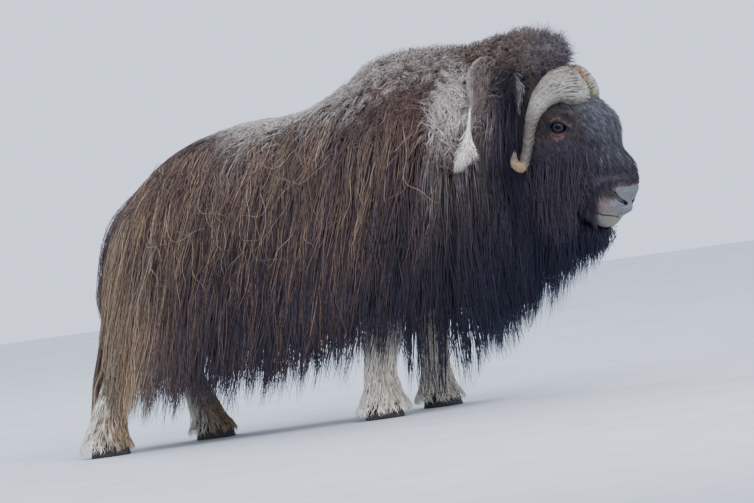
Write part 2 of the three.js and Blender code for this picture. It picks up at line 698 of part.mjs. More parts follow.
// The fuzzy tuft on the crown, as clumps on a low dome.
function crownClumps() {
  const clumps = [];
  const centre = new THREE.Vector3(CROWN.at[0], 0, CROWN.at[1]);
  for (const [tilt, count] of CROWN.rings) {
    for (let i = 0; i < count; i++) {
      const turn = ((i + 0.5 * (count % 2)) / count) * 2 * Math.PI + vary(0.15);
      const polar = THREE.MathUtils.degToRad(tilt + vary(4));
      const out = new THREE.Vector3().setFromSphericalCoords(1, polar, turn);
      out.set(out.z, out.x, out.y);
      const spot = out.clone().multiply(new THREE.Vector3(...CROWN.reach)).add(centre);
      const facing = inHead(out.toArray()).sub(inHead([0, 0, 0]));
      const curl = new THREE.Vector3(vary(0.6), vary(0.6), 0.2);
      const [radius, rise] = [CROWN.clump, CROWN.rise].map((size) => size * (1 + vary(0.12)));
      clumps.push(clump(inHead(spot.toArray()), facing, radius, rise, curl));
    }
  }
  return clumps;
}

// The tuft of shed wool and the roll of wool beside it, on the near side of the neck.
function shedWool() {
  const [rootX, rootHeight] = SHED.root;
  const near = (x, height, depth) => {
    const place = x + Math.tan(LEAN) * (LEAN_LEVEL - height);
    const { middle, top, hem } = sectionAt(alongOf(place), 1);
    if (height < middle) return coatAt(place, 1 + (middle - height) / (middle - hem), -1, depth);
    const rise = THREE.MathUtils.clamp((height - middle) / (top - middle), 0, 1);
    return coatAt(place, (2 / Math.PI) * Math.acos(rise ** (TRUNK_SQUARE.above / 2)), -1, depth);
  };
  const tuft = SHED.tips.map(([shift, tipHeight, width]) => {
    const spots = SHED.lie.map(([share, depth]) =>
      near(rootX + (shift - 30) * share, mix([rootHeight, tipHeight], share), depth));
    return lock(spots, new THREE.Vector3(0, -1, 0), width, SHED.thick, 4);
  });
  const course = [0, 0.33, 0.66, 1].map((share) => {
    const [x, height] = [0, 1].map((k) => mix([RUFF.from[k], RUFF.to[k]], share));
    return near(x, height, share > 0 ? 1.02 : 0.3);
  });
  return [...tuft, lock(course, new THREE.Vector3(0, -1, 0.2).normalize(), RUFF.width, RUFF.thick, 4)];
}

// The bare head without its coat: skull, muzzle, lips, lids and the low dome of the crown.
function headCore() {
  const skull = tube(16, 14, headWall);
  const dome = headBall([CROWN.at[0], 0, CROWN.at[1]], CROWN.reach, 10, 5);
  const lids = [1, -1].map((side) => eyeball(side, EYE.lid));
  const lips = [LIP.apart, -LIP.apart].map((rise) =>
    headRope(mouthLine(rise), (along) => LIP.roll * Math.sin(Math.PI * (0.08 + 0.84 * along)) ** 0.4, 5, 8),
  );
  return [skull, dome, ...lids, ...lips];
}

// What is cut out of the head for its openings: the mouth's line and the nostrils.
function headOpenings() {
  const groove = headRope(mouthLine(0), () => LIP.groove, 4, 8);
  const nostrils = [1, -1].map((side) => {
    const ends = [NOSTRIL.from, NOSTRIL.to].map(([forward, left, height]) => [forward, side * left, height]);
    const bend = ends[0].map((value, k) => mix([value, ends[1][k]], 0.5) + (k === 1 ? side * 8 : 0));
    const radiusAt = (along) => NOSTRIL.radius * Math.sin(Math.PI * (0.15 + 0.7 * along));
    return headRope([ends[0], bend, ends[1]], radiusAt, 6, 4);
  });
  return [groove, ...nostrils, eyeOpening(1), eyeOpening(-1)];
}

// Parts the whole body into nodes and clears each from what is set into it.
function buildSolids() {
  THREE.MathUtils.seededRandom(SEED);
  const trunk = tube(14, 17, trunkWall);
  const set = [1, -1].flatMap((side) => [horn(side, GAP), ear(side, GAP), eyeball(side, EYE.radius + GAP)]);
  for (const line of Object.values(LEGS)) set.push(leg(line, GAP));
  set.push(tail(GAP));
  const sockets = wasm.Manifold.union(set);

  // One length of the body between two cuts, its forms fused and cleared from what is set into it
  const length = (from, to, forms, openings = []) => {
    const block = slab(from + GAP / 2, to - GAP / 2);
    const fused = wasm.Manifold.union([trunk.intersect(block), ...forms]).intersect(block);
    return largest(fused.subtract(wasm.Manifold.union([sockets, ...openings])));
  };
  const [tailEnd, noseEnd] = [-3 * LEAN_LEVEL, 3 * LEAN_LEVEL];
  const solids = {
    rump: length(tailEnd, CUT_RUMP, [
      ...flankLocks(-LEAN_LEVEL, CUT_RUMP),
      ...ridgeLocks(-LEAN_LEVEL, CUT_RUMP),
      ...rumpLocks(),
    ]),
    flanks: length(CUT_RUMP, CUT_FLANK, [
      ...flankLocks(CUT_RUMP, CUT_FLANK),
      ...ridgeLocks(CUT_RUMP, CUT_FLANK),
      ...woolClumps(CUT_RUMP, CUT_FLANK),
    ]),
    shoulders: length(CUT_FLANK, CUT_SHOULDER, [
      ...flankLocks(CUT_FLANK, CUT_SHOULDER),
      ...woolClumps(CUT_FLANK, CUT_SHOULDER),
    ]),
    neck: length(CUT_SHOULDER, CUT_HEAD, [
      ...flankLocks(CUT_SHOULDER, CUT_HEAD),
      ...woolClumps(CUT_SHOULDER, CUT_HEAD),
      ...frontLocks(CHEST),
      ...shedWool(),
    ]),
    head: length(
      CUT_HEAD,
      noseEnd,
      [
        ...headCore(),
        ...flankLocks(CUT_HEAD, LEAN_LEVEL),
        ...frontLocks(THROAT),
        ...beardLocks(),
        ...crownClumps(),
      ],
      headOpenings(),
    ),
    tail: tail(0),
  };
  for (const [hand, side] of [["left", 1], ["right", -1]]) {
    solids[`horn_${hand}`] = horn(side, 0);
    solids[`ear_${hand}`] = ear(side, 0).subtract(horn(side, GAP));
    solids[`eye_${hand}`] = eyeball(side, EYE.radius);
  }
  for (const [name, line] of Object.entries(LEGS)) {
    solids[`leg_${name}`] = leg(line, 0);
    solids[`hoof_${name}`] = hoof(line);
  }
  return solids;
}

// The finish of a node, from its name.
function finishOf(name) {
  const kind = name.split("_")[0];
  return new THREE.MeshStandardMaterial({ ...FINISH[DRESS[kind] ?? kind], metalness: 0 });
}

const muskox = new THREE.Group();
for (const [name, solid] of Object.entries(buildSolids())) {
  const mesh = new THREE.Mesh(geometryOf(solid), finishOf(name));
  mesh.name = name;
  muskox.add(mesh);
}
const reach = new THREE.Box3().setFromObject(muskox);
const middle = reach.getCenter(new THREE.Vector3());
muskox.position.set(-middle.x, -middle.y, -reach.min.z);

export default muskox;
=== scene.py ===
"""A life-size muskox bull, dressed in its long coat, on a plain studio floor.

Lengths are metres. Tables of the body are written in the part's own place, with the nose towards +X, the
animal's left towards +Y and the ground at zero, and are moved into the frame once its offset is known.
"""

from __future__ import annotations

import logging
import math
from dataclasses import dataclass, field
from enum import Enum

import bpy
import numpy as np
from mathutils import Matrix, Vector
from mathutils.bvhtree import BVHTree

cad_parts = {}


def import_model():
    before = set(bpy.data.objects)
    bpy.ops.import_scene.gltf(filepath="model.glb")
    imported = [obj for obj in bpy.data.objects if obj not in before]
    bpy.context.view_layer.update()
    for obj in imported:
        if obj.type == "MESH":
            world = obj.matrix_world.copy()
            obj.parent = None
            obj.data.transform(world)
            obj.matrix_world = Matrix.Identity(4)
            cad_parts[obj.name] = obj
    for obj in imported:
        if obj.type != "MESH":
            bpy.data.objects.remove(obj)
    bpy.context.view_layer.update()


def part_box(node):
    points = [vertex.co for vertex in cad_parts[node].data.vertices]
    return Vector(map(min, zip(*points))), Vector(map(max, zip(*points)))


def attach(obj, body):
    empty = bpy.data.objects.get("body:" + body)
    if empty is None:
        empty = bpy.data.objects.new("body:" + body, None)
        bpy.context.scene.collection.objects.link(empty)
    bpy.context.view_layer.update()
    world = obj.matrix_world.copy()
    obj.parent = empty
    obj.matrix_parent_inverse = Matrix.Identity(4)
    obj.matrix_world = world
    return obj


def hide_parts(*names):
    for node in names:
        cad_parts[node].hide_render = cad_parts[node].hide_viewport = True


LOG = logging.getLogger("muskox")
Array = np.ndarray
Mesh = tuple[np.ndarray, np.ndarray]  # points and triangles
Socket = bpy.types.NodeSocket

SEED = 1871
TURN = 2 * math.pi
LEAN = math.tan(math.radians(10))  # how far the hanging coat leans back for each metre of fall
LEAN_LEVEL = 1.0  # height at which the coat keeps its own place along the body
LOWEST = 0.05  # height under which no hair of the body hangs
HEAD_YAW = math.radians(28)  # the head is turned to the animal's right
HEAD_PIVOT = 0.671  # place along the body where the head turns on the neck
BAKE_MAP = "OFBake"
HAIR_FLAT = 0.45  # how thick a hair is, as a share of its half width
PATCH = 0.003  # how wide a tuft's patch is on the unwrapped skin
PIECE_LIMIT = 190_000  # triangles in one piece of the coat


def smooth(low: float, high: float, value: Array) -> Array:
    """Return 0 below low and 1 above high, or the other way round, with a soft step between."""
    share = np.clip((value - low) / (high - low), 0.0, 1.0)
    return share * share * (3.0 - 2.0 * share)


def blend(start: Array, end: Array, share: Array) -> Array:
    """Return the mix of two values, from start at share 0 to end at share 1."""
    return start + (end - start) * share


def unit(vectors: Array) -> Array:
    """Return vectors of length one, with the same directions."""
    return vectors / np.maximum(np.linalg.norm(vectors, axis=-1, keepdims=True), 1e-9)


def together(*parts: Array) -> Array:
    """Return coordinates of any shapes as points, with one more axis."""
    return np.stack(np.broadcast_arrays(*parts), axis=-1)


def around(sides: int) -> Array:
    """Return the angles of points that lie evenly round a section, as one row."""
    return np.linspace(0.0, TURN, sides, endpoint=False)[None, :]


def even(steps: int) -> Array:
    """Return even shares of a hair's length, as one row."""
    return np.linspace(0.0, 1.0, steps)[None, :]


def risen(share: Array, speed: float) -> Array:
    """Return how far a hair has risen from the skin, quickly near its root and not at all further on."""
    return np.sin(np.minimum(share * speed, 1.0) * math.pi / 2)


def tint(hexcode: str) -> Array:
    """Return the linear colour of a hexadecimal sRGB code."""
    srgb = np.array([int(hexcode[i : i + 2], 16) / 255.0 for i in (1, 3, 5)])
    return np.where(srgb <= 0.04045, srgb / 12.92, ((srgb + 0.055) / 1.055) ** 2.4)


def smooth_rows(rows: Array, spots: Array) -> Array:
    """Read a table along a smooth line through its rows.

    Args:
        rows: One row of values for each station.
        spots: Where to read, from 0 at the first row to 1 at the last.

    Returns:
        One row of values for each spot.
    """
    rows = np.asarray(rows, float)
    padded = np.vstack([2 * rows[0] - rows[1], rows, 2 * rows[-1] - rows[-2]])
    spot = np.clip(spots, 0.0, 1.0) * (len(rows) - 1)
    first = np.minimum(spot.astype(int), len(rows) - 2)
    t = (spot - first)[..., None]
    p0, p1, p2, p3 = (padded[first + k] for k in range(4))
    curve = 2 * p1 + (p2 - p0) * t + (2 * p0 - 5 * p1 + 4 * p2 - p3) * t**2
    return 0.5 * (curve + (3 * p1 - p0 - 3 * p2 + p3) * t**3)


def oval(angle: Array, square: Array) -> tuple[Array, Array]:
    """Return the sideways and upwards shares of a boxy oval, for angles that start at its top."""
    sine, cosine = np.sin(angle), np.cos(angle)
    power = 2.0 / square
    return np.sign(sine) * np.abs(sine) ** power, np.sign(cosine) * np.abs(cosine) ** power


def sphere(steps: int, sides: int, end: float) -> Array:
    """Return points of a ball of radius one in rings, which start and stop an angle away from its poles."""
    polar, turn = np.linspace(end, math.pi - end, steps)[:, None], around(sides)
    return together(np.sin(polar) * np.cos(turn), np.sin(polar) * np.sin(turn), np.cos(polar))


def leaning(place: Array, across: Array, height: Array) -> Array:
    """Return points at a place along the body, moved back as far as the coat leans at their height."""
    return together(place - LEAN * (LEAN_LEVEL - height), across, height)


def near_line(points: Array, line: Array) -> Array:
    """Return how far each point is from a broken line."""
    best = np.full(points.shape[:-1], np.inf)
    for start, end in zip(line[:-1], line[1:]):
        run = end - start
        share = np.clip(((points - start) @ run) / (run @ run), 0.0, 1.0)
        best = np.minimum(best, np.linalg.norm(points - start - share[..., None] * run, axis=-1))
    return best


def linked(name: str, data: bpy.types.ID) -> bpy.types.Object:
    """Make an object of its data and put it in the scene."""
    made = bpy.data.objects.new(name, data)
    bpy.context.scene.collection.objects.link(made)
    return made


def mesh_object(name: str, points: Array, triangles: Array) -> bpy.types.Object:
    """Make a smooth-shaded mesh object from points and triangles."""
    mesh = bpy.data.meshes.new(name)
    mesh.vertices.add(len(points))
    mesh.vertices.foreach_set("co", np.ascontiguousarray(points, np.float32).ravel())
    mesh.loops.add(triangles.size)
    mesh.loops.foreach_set("vertex_index", np.ascontiguousarray(triangles, np.int32).ravel())
    mesh.polygons.add(len(triangles))
    mesh.polygons.foreach_set("loop_start", np.arange(0, triangles.size, 3, dtype=np.int32))
    mesh.update(calc_edges=True)
    mesh.shade_smooth()
    return linked(name, mesh)


def vertices(piece: bpy.types.Object) -> Array:
    """Return the places of an object's vertices."""
    points = np.empty(len(piece.data.vertices) * 3, np.float32)
    piece.data.vertices.foreach_get("co", points)
    return points.reshape(-1, 3)


class Stored(Enum):
    """What an attribute holds for each vertex: its type, and the key of its values."""

    NUMBER = ("FLOAT", "value")
    VECTOR = ("FLOAT_VECTOR", "vector")
    COLOUR = ("FLOAT_COLOR", "color")


def store(piece: bpy.types.Object, name: str, kind: Stored, values: Array) -> None:
    """Store a value for each vertex of an object, for its material to read."""
    kind_name, key = kind.value
    layer = piece.data.attributes.new(name, kind_name, "POINT")
    layer.data.foreach_set(key, np.ascontiguousarray(values, np.float32).ravel())


def paint(piece: bpy.types.Object, name: str, colours: Array) -> None:
    """Store a colour for each vertex of an object, for its material to read."""
    store(piece, name, Stored.COLOUR, np.hstack([colours, np.ones((len(colours), 1))]))


def loft(sections: Array, ring: bool = False) -> Mesh:
    """Skin a run of closed sections.

    Args:
        sections: Points of each section in order, as (sections, points around, 3).
        ring: Whether the last section joins the first again. If not, both ends are closed by fans.

    Returns:
        The points of a closed mesh, and its triangles.
    """
    steps, sides = sections.shape[:2]
    points = sections.reshape(-1, 3)
    row, col = np.meshgrid(np.arange(steps if ring else steps - 1), np.arange(sides), indexing="ij")
    after, beside = (row + 1) % steps, (col + 1) % sides
    a, b, c, d = row * sides + col, row * sides + beside, after * sides + col, after * sides + beside
    faces = [np.stack([a, b, d], -1).reshape(-1, 3), np.stack([a, d, c], -1).reshape(-1, 3)]
    if not ring:
        first, middle = np.arange(sides), np.full(sides, len(points))
        second, last = (first + 1) % sides, (steps - 1) * sides
        faces.append(np.stack([second, first, middle], -1))
        faces.append(np.stack([last + first, last + second, middle + 1], -1))
        points = np.vstack([points, sections[0].mean(0), sections[-1].mean(0)])
    triangles = np.concatenate(faces)
    corners = points[triangles]
    volume = np.einsum("ij,ij->i", corners[:, 0], np.cross(corners[:, 1], corners[:, 2])).sum()
    return points, triangles if volume > 0 else triangles[:, ::-1]


def capped(values: Array) -> Array:
    """Return the values of a closed mesh's points from those of its sections, in the order of loft."""
    values = values.reshape(-1, 3)
    return np.vstack([values, values[:1], values[-1:]])


class Side(Enum):
    """The two sides of the animal."""

    LEFT = 1
    RIGHT = -1

    @property
    def word(self) -> str:
        """The side's name in lower case."""
        return self.name.lower()

    @property
    def flip(self) -> Array:
        """What turns points of the left side into points of this one."""
        return np.array([1, self.value, 1])


class Nodes:
    """The material graph of one finish, with short words for its usual nodes."""

    def __init__(self, name: str) -> None:
        """Start a material with one Principled shader."""
        self.material = bpy.data.materials.new(name)
        self.material.use_nodes = True
        self.tree = self.material.node_tree
        self.shader = self.tree.nodes["Principled BSDF"]

    def add(self, kind: str, **settings: object) -> bpy.types.Node:
        """Add a node with these settings."""
        node = self.tree.nodes.new(kind)
        for key, value in settings.items():
            setattr(node, key, value)
        return node

    def link(self, output: Socket, target: Socket) -> None:
        """Join an output to an input."""
        self.tree.links.new(output, target)

    def attribute(self, name: str) -> bpy.types.Node:
        """Read a stored attribute of the mesh."""
        return self.add("ShaderNodeAttribute", attribute_name=name)

    def place(self) -> Socket:
        """Read the place on the object."""
        return self.add("ShaderNodeTexCoord").outputs["Object"]

    def noise(self, scale: float, detail: float, vector: Socket | None = None) -> Socket:
        """Make soft noise on the object's own coordinates, or on a vector."""
        node = self.add("ShaderNodeTexNoise")
        node.inputs["Scale"].default_value = scale
        node.inputs["Detail"].default_value = detail
        self.link(self.place() if vector is None else vector, node.inputs["Vector"])
        return node.outputs["Fac"]

    def spread(self, value: Socket, source: tuple, result: tuple) -> Socket:
        """Map a value from one range to another."""
        node = self.add("ShaderNodeMapRange")
        self.link(value, node.inputs["Value"])
        for key, number in zip(("From Min", "From Max", "To Min", "To Max"), source + result):
            node.inputs[key].default_value = number
        return node.outputs["Result"]

    def mix(self, share: Socket, first: Socket | tuple, second: Socket | tuple) -> Socket:
        """Mix two colours, each a socket or a linear colour."""
        node = self.add("ShaderNodeMix", data_type="RGBA")
        self.link(share, node.inputs[0])
        for value, key in ((first, 6), (second, 7)):
            if isinstance(value, Socket):
                self.link(value, node.inputs[key])
            else:
                node.inputs[key].default_value = (*value, 1.0)
        return node.outputs[2]

    def varied(self, colour: Socket, noise: Socket, source: tuple, factors: tuple) -> Socket:
        """Darken and lighten a colour by a noise.

        Args:
            colour: The colour.
            noise: The noise.
            source: The range of the noise that counts.
            factors: What the colour is multiplied by at both ends of that range.

        Returns:
            The colour made uneven.
        """
        node = self.add("ShaderNodeVectorMath", operation="SCALE")
        self.link(colour, node.inputs[0])
        self.link(self.spread(noise, source, factors), node.inputs["Scale"])
        return node.outputs[0]

    def stretched(self, vector: Socket, scale: tuple, turn: tuple = (0.0, 0.0, 0.0)) -> Socket:
        """Turn and stretch a vector, for a grain that runs one way."""
        node = self.add("ShaderNodeMapping")
        node.inputs["Rotation"].default_value = turn
        node.inputs["Scale"].default_value = scale
        self.link(vector, node.inputs["Vector"])
        return node.outputs["Vector"]

    def bump(self, height: Socket, strength: float, distance: float) -> None:
        """Give the shader a bump from a height."""
        node = self.add("ShaderNodeBump")
        node.inputs["Strength"].default_value = strength
        node.inputs["Distance"].default_value = distance
        self.link(height, node.inputs["Height"])
        self.link(node.outputs["Normal"], self.shader.inputs["Normal"])

    def base(self, colour: Socket) -> None:
        """Give the shader its base colour."""
        self.link(colour, self.shader.inputs["Base Color"])

    def set(self, **values: float) -> None:
        """Set numbers on the shader's own sockets, with spaces written as underscores."""
        for key, value in values.items():
            socket = key.replace("_", " ").title().replace("Ior", "IOR")
            self.shader.inputs[socket].default_value = value


@dataclass
class Trunk:
    """The body under the long coat, as sections on the skin and at the tips of the hair."""

    # Each row: place, top, low and half width, each first on the skin and then at the tips.
    rows: list = field(default_factory=lambda: [
        [-0.800, -0.868, 0.740, 0.700, 0.640, 0.330, 0.060, 0.110],
        [-0.770, -0.848, 0.850, 0.815, 0.590, 0.190, 0.140, 0.205],
        [-0.690, -0.765, 0.940, 0.952, 0.560, 0.140, 0.200, 0.270],
        [-0.580, -0.600, 1.056, 1.090, 0.560, 0.132, 0.245, 0.315],
        [-0.370, -0.370, 1.126, 1.160, 0.570, 0.122, 0.270, 0.335],
        [-0.140, -0.140, 1.122, 1.176, 0.580, 0.140, 0.280, 0.340],
        [0.010, 0.010, 1.160, 1.250, 0.590, 0.190, 0.285, 0.350],
        [0.140, 0.140, 1.225, 1.345, 0.590, 0.175, 0.285, 0.355],
        [0.330, 0.330, 1.245, 1.362, 0.600, 0.160, 0.265, 0.345],
        [0.490, 0.490, 1.240, 1.348, 0.640, 0.165, 0.215, 0.310],
        [0.620, 0.620, 1.240, 1.376, 0.720, 0.200, 0.160, 0.225],
        [0.700, 0.725, 1.230, 1.378, 0.800, 0.250, 0.130, 0.180],
        [0.740, 0.800, 1.150, 1.290, 0.900, 0.380, 0.080, 0.120],
    ])
    middle_share: float = 0.62
    square_above: float = 2.4
    square_below: float = 4.0
    hem_draw: float = 0.1
    core: float = 0.46  # how deep in the coat the skin lies, from the bare body (0) to the tips (1)
    rear: list = field(default_factory=lambda: [
        [0.127, -0.893], [0.286, -0.890], [0.524, -0.856], [0.777, -0.839], [0.884, -0.812], [1.013, -0.703],
    ])
    rear_depth: float = 0.064

    def __post_init__(self) -> None:
        """Read the rows finely once."""
        self.fine = smooth_rows(np.array(self.rows), np.linspace(0.0, 1.0, 1201))

    def section(self, place: Array, depth: Array) -> list[Array]:
        """Return the place, top, low end and half width of the section at a depth in the coat."""
        columns = [np.interp(place, self.fine[:, 1], self.fine[:, k]) for k in range(8)]
        return [blend(columns[k], columns[k + 1], depth) for k in (0, 2, 4, 6)]

    def middle(self, place: Array) -> tuple[Array, Array]:
        """Return the height of the widest level and of the hem at a place."""
        top, hem = (np.interp(place, self.fine[:, 1], self.fine[:, k]) for k in (3, 5))
        return blend(hem, top, self.middle_share), hem

    def over(self, place: Array) -> Array:
        """Return how far it is over the surface from the crest to the widest level."""
        top, wide = (np.interp(place, self.fine[:, 1], self.fine[:, k]) for k in (3, 7))
        return 1.04 * math.pi / 2 * np.sqrt((wide**2 + (top - self.middle(place)[0]) ** 2) / 2)

    def level(self, place: Array, fall: Array) -> Array:
        """Return the level of points that lie a way down from the crest: 1 at the widest, 2 at the hem."""
        over = self.over(place)
        middle, hem = self.middle(place)
        return np.where(fall < over, fall / over, 1.0 + (fall - over) / (middle - hem))

    def fall(self, place: Array, level: Array) -> Array:
        """Return how far down from the crest a level lies."""
        over = self.over(place)
        middle, hem = self.middle(place)
        return np.where(level < 1, level * over, over + (level - 1.0) * (middle - hem))

    def coat(self, place: Array, fall: Array, depth: Array) -> Array:
        """Return points in the coat.

        Args:
            place: Where along the body.
            fall: How far down from the crest, more than zero on the left and less on the right.
            depth: From the bare body (0) to the tips (1).

        Returns:
            The points, with one more axis of three.
        """
        place, fall, depth = np.broadcast_arrays(place, fall, depth)
        at, top, _, wide = self.section(place, depth)
        middle, hem = self.middle(place)
        level = self.level(place, np.abs(fall))
        out, rise = oval(np.clip(level, 0.0, 1.0) * math.pi / 2, self.square_above)
        drop = np.maximum(level - 1.0, 0.0)
        high = level <= 1.0
        across = np.where(high, out * wide, wide * (1.0 - self.hem_draw * drop**2))
        height = np.where(high, middle + rise * (top - middle), middle - drop * (middle - hem))
        return leaning(at, np.sign(fall + 1e-9) * across, height)

    def lie(self, place: Array, fall: Array, depth: Array) -> tuple[Array, Array]:
        """Return points in the coat as coat() does, off the ground, and the way out of the coat at each."""
        points = self.coat(place, fall, depth)
        points[..., 2] = np.maximum(points[..., 2], LOWEST)
        return points, self.coat(place, fall, depth + 0.2) - points

    def near_side(self, along: Array, height: Array, depth: Array) -> Array:
        """Return points on the right side of the coat at places and heights, at a depth in it."""
        place = along + LEAN * (LEAN_LEVEL - height)
        middle, hem = self.middle(place)
        top = np.interp(place, self.fine[:, 1], self.fine[:, 3])
        rise = np.clip((height - middle) / (top - middle), 0.0, 1.0) ** (self.square_above / 2)
        below = 1.0 + (middle - height) / (middle - hem)
        level = np.where(height < middle, below, 2 / math.pi * np.arccos(rise))
        return self.coat(place, -self.fall(place, level), depth)

    def behind(self, across: Array, height: Array, depth: Array) -> Array:
        """Return points in the coat of the buttocks, at a depth from the body (0) to the tips (1)."""
        table = np.array(self.rear)
        place = np.interp(height, table[:, 0], table[:, 1]) + self.rear_depth * (1.0 - depth)
        return leaning(place, across, height)

    def skin(self, steps: int, sides: int) -> Mesh:
        """Return the closed mesh of the body under the coat, lumpy where it carries wool."""
        fine = smooth_rows(np.array(self.rows), np.linspace(0.0, 1.0, steps))
        angle = around(sides)
        turn = np.minimum(angle, TURN - angle)
        woolly = smooth(-0.06, 0.06, fine[:, :1]) * smooth(1.35, 1.0, turn)
        lumps = Drift(5, 0.05)(fine[:, :1] + 0 * angle, turn * 0.3) * 0.06
        depth = self.core + woolly * (0.20 + lumps)
        at, top, low, wide = (blend(fine[:, k, None], fine[:, k + 1, None], depth) for k in (0, 2, 4, 6))
        middle = blend(fine[:, 5], fine[:, 3], self.middle_share)[:, None]
        upper = np.cos(angle) >= 0
        out, rise = oval(angle, np.where(upper, self.square_above, self.square_below))
        height = middle + rise * np.where(upper, top - middle, middle - low)
        return loft(leaning(at, out * wide, height))



@dataclass
class Head:
    """The bare head, as sections from its back to its lips, in its own turned plane."""

    # Each row: top (forward, height), low end (forward, height) and half width.
    rows: list = field(default_factory=lambda: [
        [0.030, 1.240, 0.132, 0.030, 0.820],
        [0.190, 1.195, 0.136, 0.110, 0.770],
        [0.290, 1.140, 0.130, 0.165, 0.715],
        [0.388, 1.066, 0.116, 0.215, 0.670],
        [0.435, 1.000, 0.100, 0.262, 0.632],
        [0.440, 0.905, 0.084, 0.305, 0.604],
        [0.478, 0.835, 0.073, 0.335, 0.590],
        [0.485, 0.782, 0.066, 0.352, 0.594],
        [0.470, 0.728, 0.056, 0.366, 0.606],
        [0.444, 0.682, 0.034, 0.388, 0.628],
    ])
    square: float = 2.2
    eye: tuple = (0.244, 0.104, 0.988)
    eye_radius: float = 0.026
    eye_look: tuple = (0.35, 1.0, 0.08)
    eye_tilt: float = -0.25
    eye_slit: tuple = (0.0300, 0.0172)  # half the length and half the height between the lids
    lid: float = 0.0045  # how thick the lids are over the eyeball
    lid_edge: float = 0.0019  # the radius of their margin
    fur: float = 0.010  # how deep the short fur of the face is
    # Each fold of the lids: points forward, up and out from the eye's middle, and its radius.
    folds: list = field(default_factory=lambda: [
        ([(-0.033, 0.008, 0.016), (-0.022, 0.026, 0.018), (0.0, 0.034, 0.018), (0.024, 0.024, 0.018),
          (0.038, 0.004, 0.014)], 0.0035),
        ([(-0.030, -0.012, 0.018), (-0.012, -0.027, 0.020), (0.014, -0.026, 0.020), (0.034, -0.010, 0.014)],
         0.0028),
    ])
    # Each mound or hollow: its middle, its reach each way, how far it stands out, and its direction.
    mounds: list = field(default_factory=lambda: [
        ((0.272, 0.112, 1.036), (0.055, 0.045, 0.020), 0.011, None),
        ((0.250, 0.118, 0.985), (0.050, 0.050, 0.046), 0.004, None),
        ((0.316, 0.100, 0.930), (0.030, 0.045, 0.034), -0.009, None),
        ((0.205, 0.120, 0.960), (0.022, 0.040, 0.040), -0.006, None),
        ((0.150, 0.130, 0.860), (0.080, 0.060, 0.090), 0.010, None),
        ((0.462, 0.040, 0.716), (0.030, 0.026, 0.024), 0.006, None),
        ((0.425, 0.062, 0.735), (0.022, 0.030, 0.016), 0.005, None),
        ((0.418, 0.058, 0.688), (0.026, 0.030, 0.016), 0.006, None),
        ((0.425, 0.000, 0.652), (0.034, 0.046, 0.018), 0.015, (0.92, 0.0, -0.40)),
        ((0.395, 0.048, 0.668), (0.040, 0.030, 0.020), 0.007, None),
        ((0.366, 0.000, 0.612), (0.034, 0.050, 0.018), 0.006, (0.5, 0.0, -0.86)),
        ((0.340, 0.058, 0.664), (0.026, 0.030, 0.026), -0.004, None),
    ])
    # The line of each cut on the surface: shares of the head's run and angles from its top.
    nostril: list = field(default_factory=lambda: [
        [0.70, 1.46], [0.76, 1.46], [0.85, 1.35], [0.93, 1.12], [0.98, 0.93], [1.0, 0.72],
    ])
    mouth: list = field(default_factory=lambda: [
        [0.58, 2.24], [0.62, 2.21], [0.71, 2.12], [0.82, 2.09], [0.89, 2.08], [0.96, 2.27], [1.0, 2.60],
        [1.0, 3.14],
    ])
    crown: tuple = (0.148, 0.0, 1.254)
    crown_reach: tuple = (0.112, 0.114, 0.092)
    jaw: list = field(default_factory=lambda: [
        [-0.040, 0.800], [0.060, 0.790], [0.110, 0.765], [0.165, 0.712],
        [0.215, 0.668], [0.262, 0.632], [0.305, 0.606], [0.338, 0.594],
    ])
    beard_hem: list = field(default_factory=lambda: [
        [-0.090, 0.235], [0.035, 0.345], [0.173, 0.404], [0.272, 0.486], [0.345, 0.556], [0.372, 0.580],
    ])

    @staticmethod
    def turned(points: Array, pivot: float = HEAD_PIVOT) -> Array:
        """Return points of the head's own plane (forward, left, height) in the part's place."""
        forward, left, height = np.moveaxis(np.asarray(points, float), -1, 0)
        cosine, sine = math.cos(HEAD_YAW), math.sin(HEAD_YAW)
        return together(pivot + forward * cosine + left * sine, left * cosine - forward * sine, height)

    @staticmethod
    def turned_way(ways: Array) -> Array:
        """Return directions of the head's own plane in the part's place."""
        return Head.turned(ways, 0.0)

    @staticmethod
    def unturned(points: Array) -> Array:
        """Return points of the part's place in the head's own plane."""
        cosine, sine = math.cos(HEAD_YAW), math.sin(HEAD_YAW)
        along, across = points[..., 0] - HEAD_PIVOT, points[..., 1]
        return together(along * cosine - across * sine, along * sine + across * cosine, points[..., 2])

    def wall(self, share: Array, angle: Array) -> Array:
        """Return points on the bare head, at a share of its run and an angle from its top."""
        share, angle = np.broadcast_arrays(share, angle)
        values = np.moveaxis(smooth_rows(np.array(self.rows), share), -1, 0)
        side, rise = oval(angle, self.square)
        mix = (1.0 + rise) / 2.0
        return together(blend(values[3], values[0], mix), side * values[2], blend(values[4], values[1], mix))

    def wall_out(self, share: Array, angle: Array) -> Array:
        """Return the outward directions of the wall, in the head's own plane."""
        step = 1e-3
        along = self.wall(share + step, angle) - self.wall(share - step, angle)
        round_it = self.wall(share, angle + step) - self.wall(share, angle - step)
        normal = unit(np.cross(round_it, along))
        centre = (self.wall(share, angle * 0) + self.wall(share, angle * 0 + math.pi)) / 2
        outside = self.wall(share, angle) - centre
        return normal * np.sign(np.sum(normal * outside, -1, keepdims=True) + 1e-12)

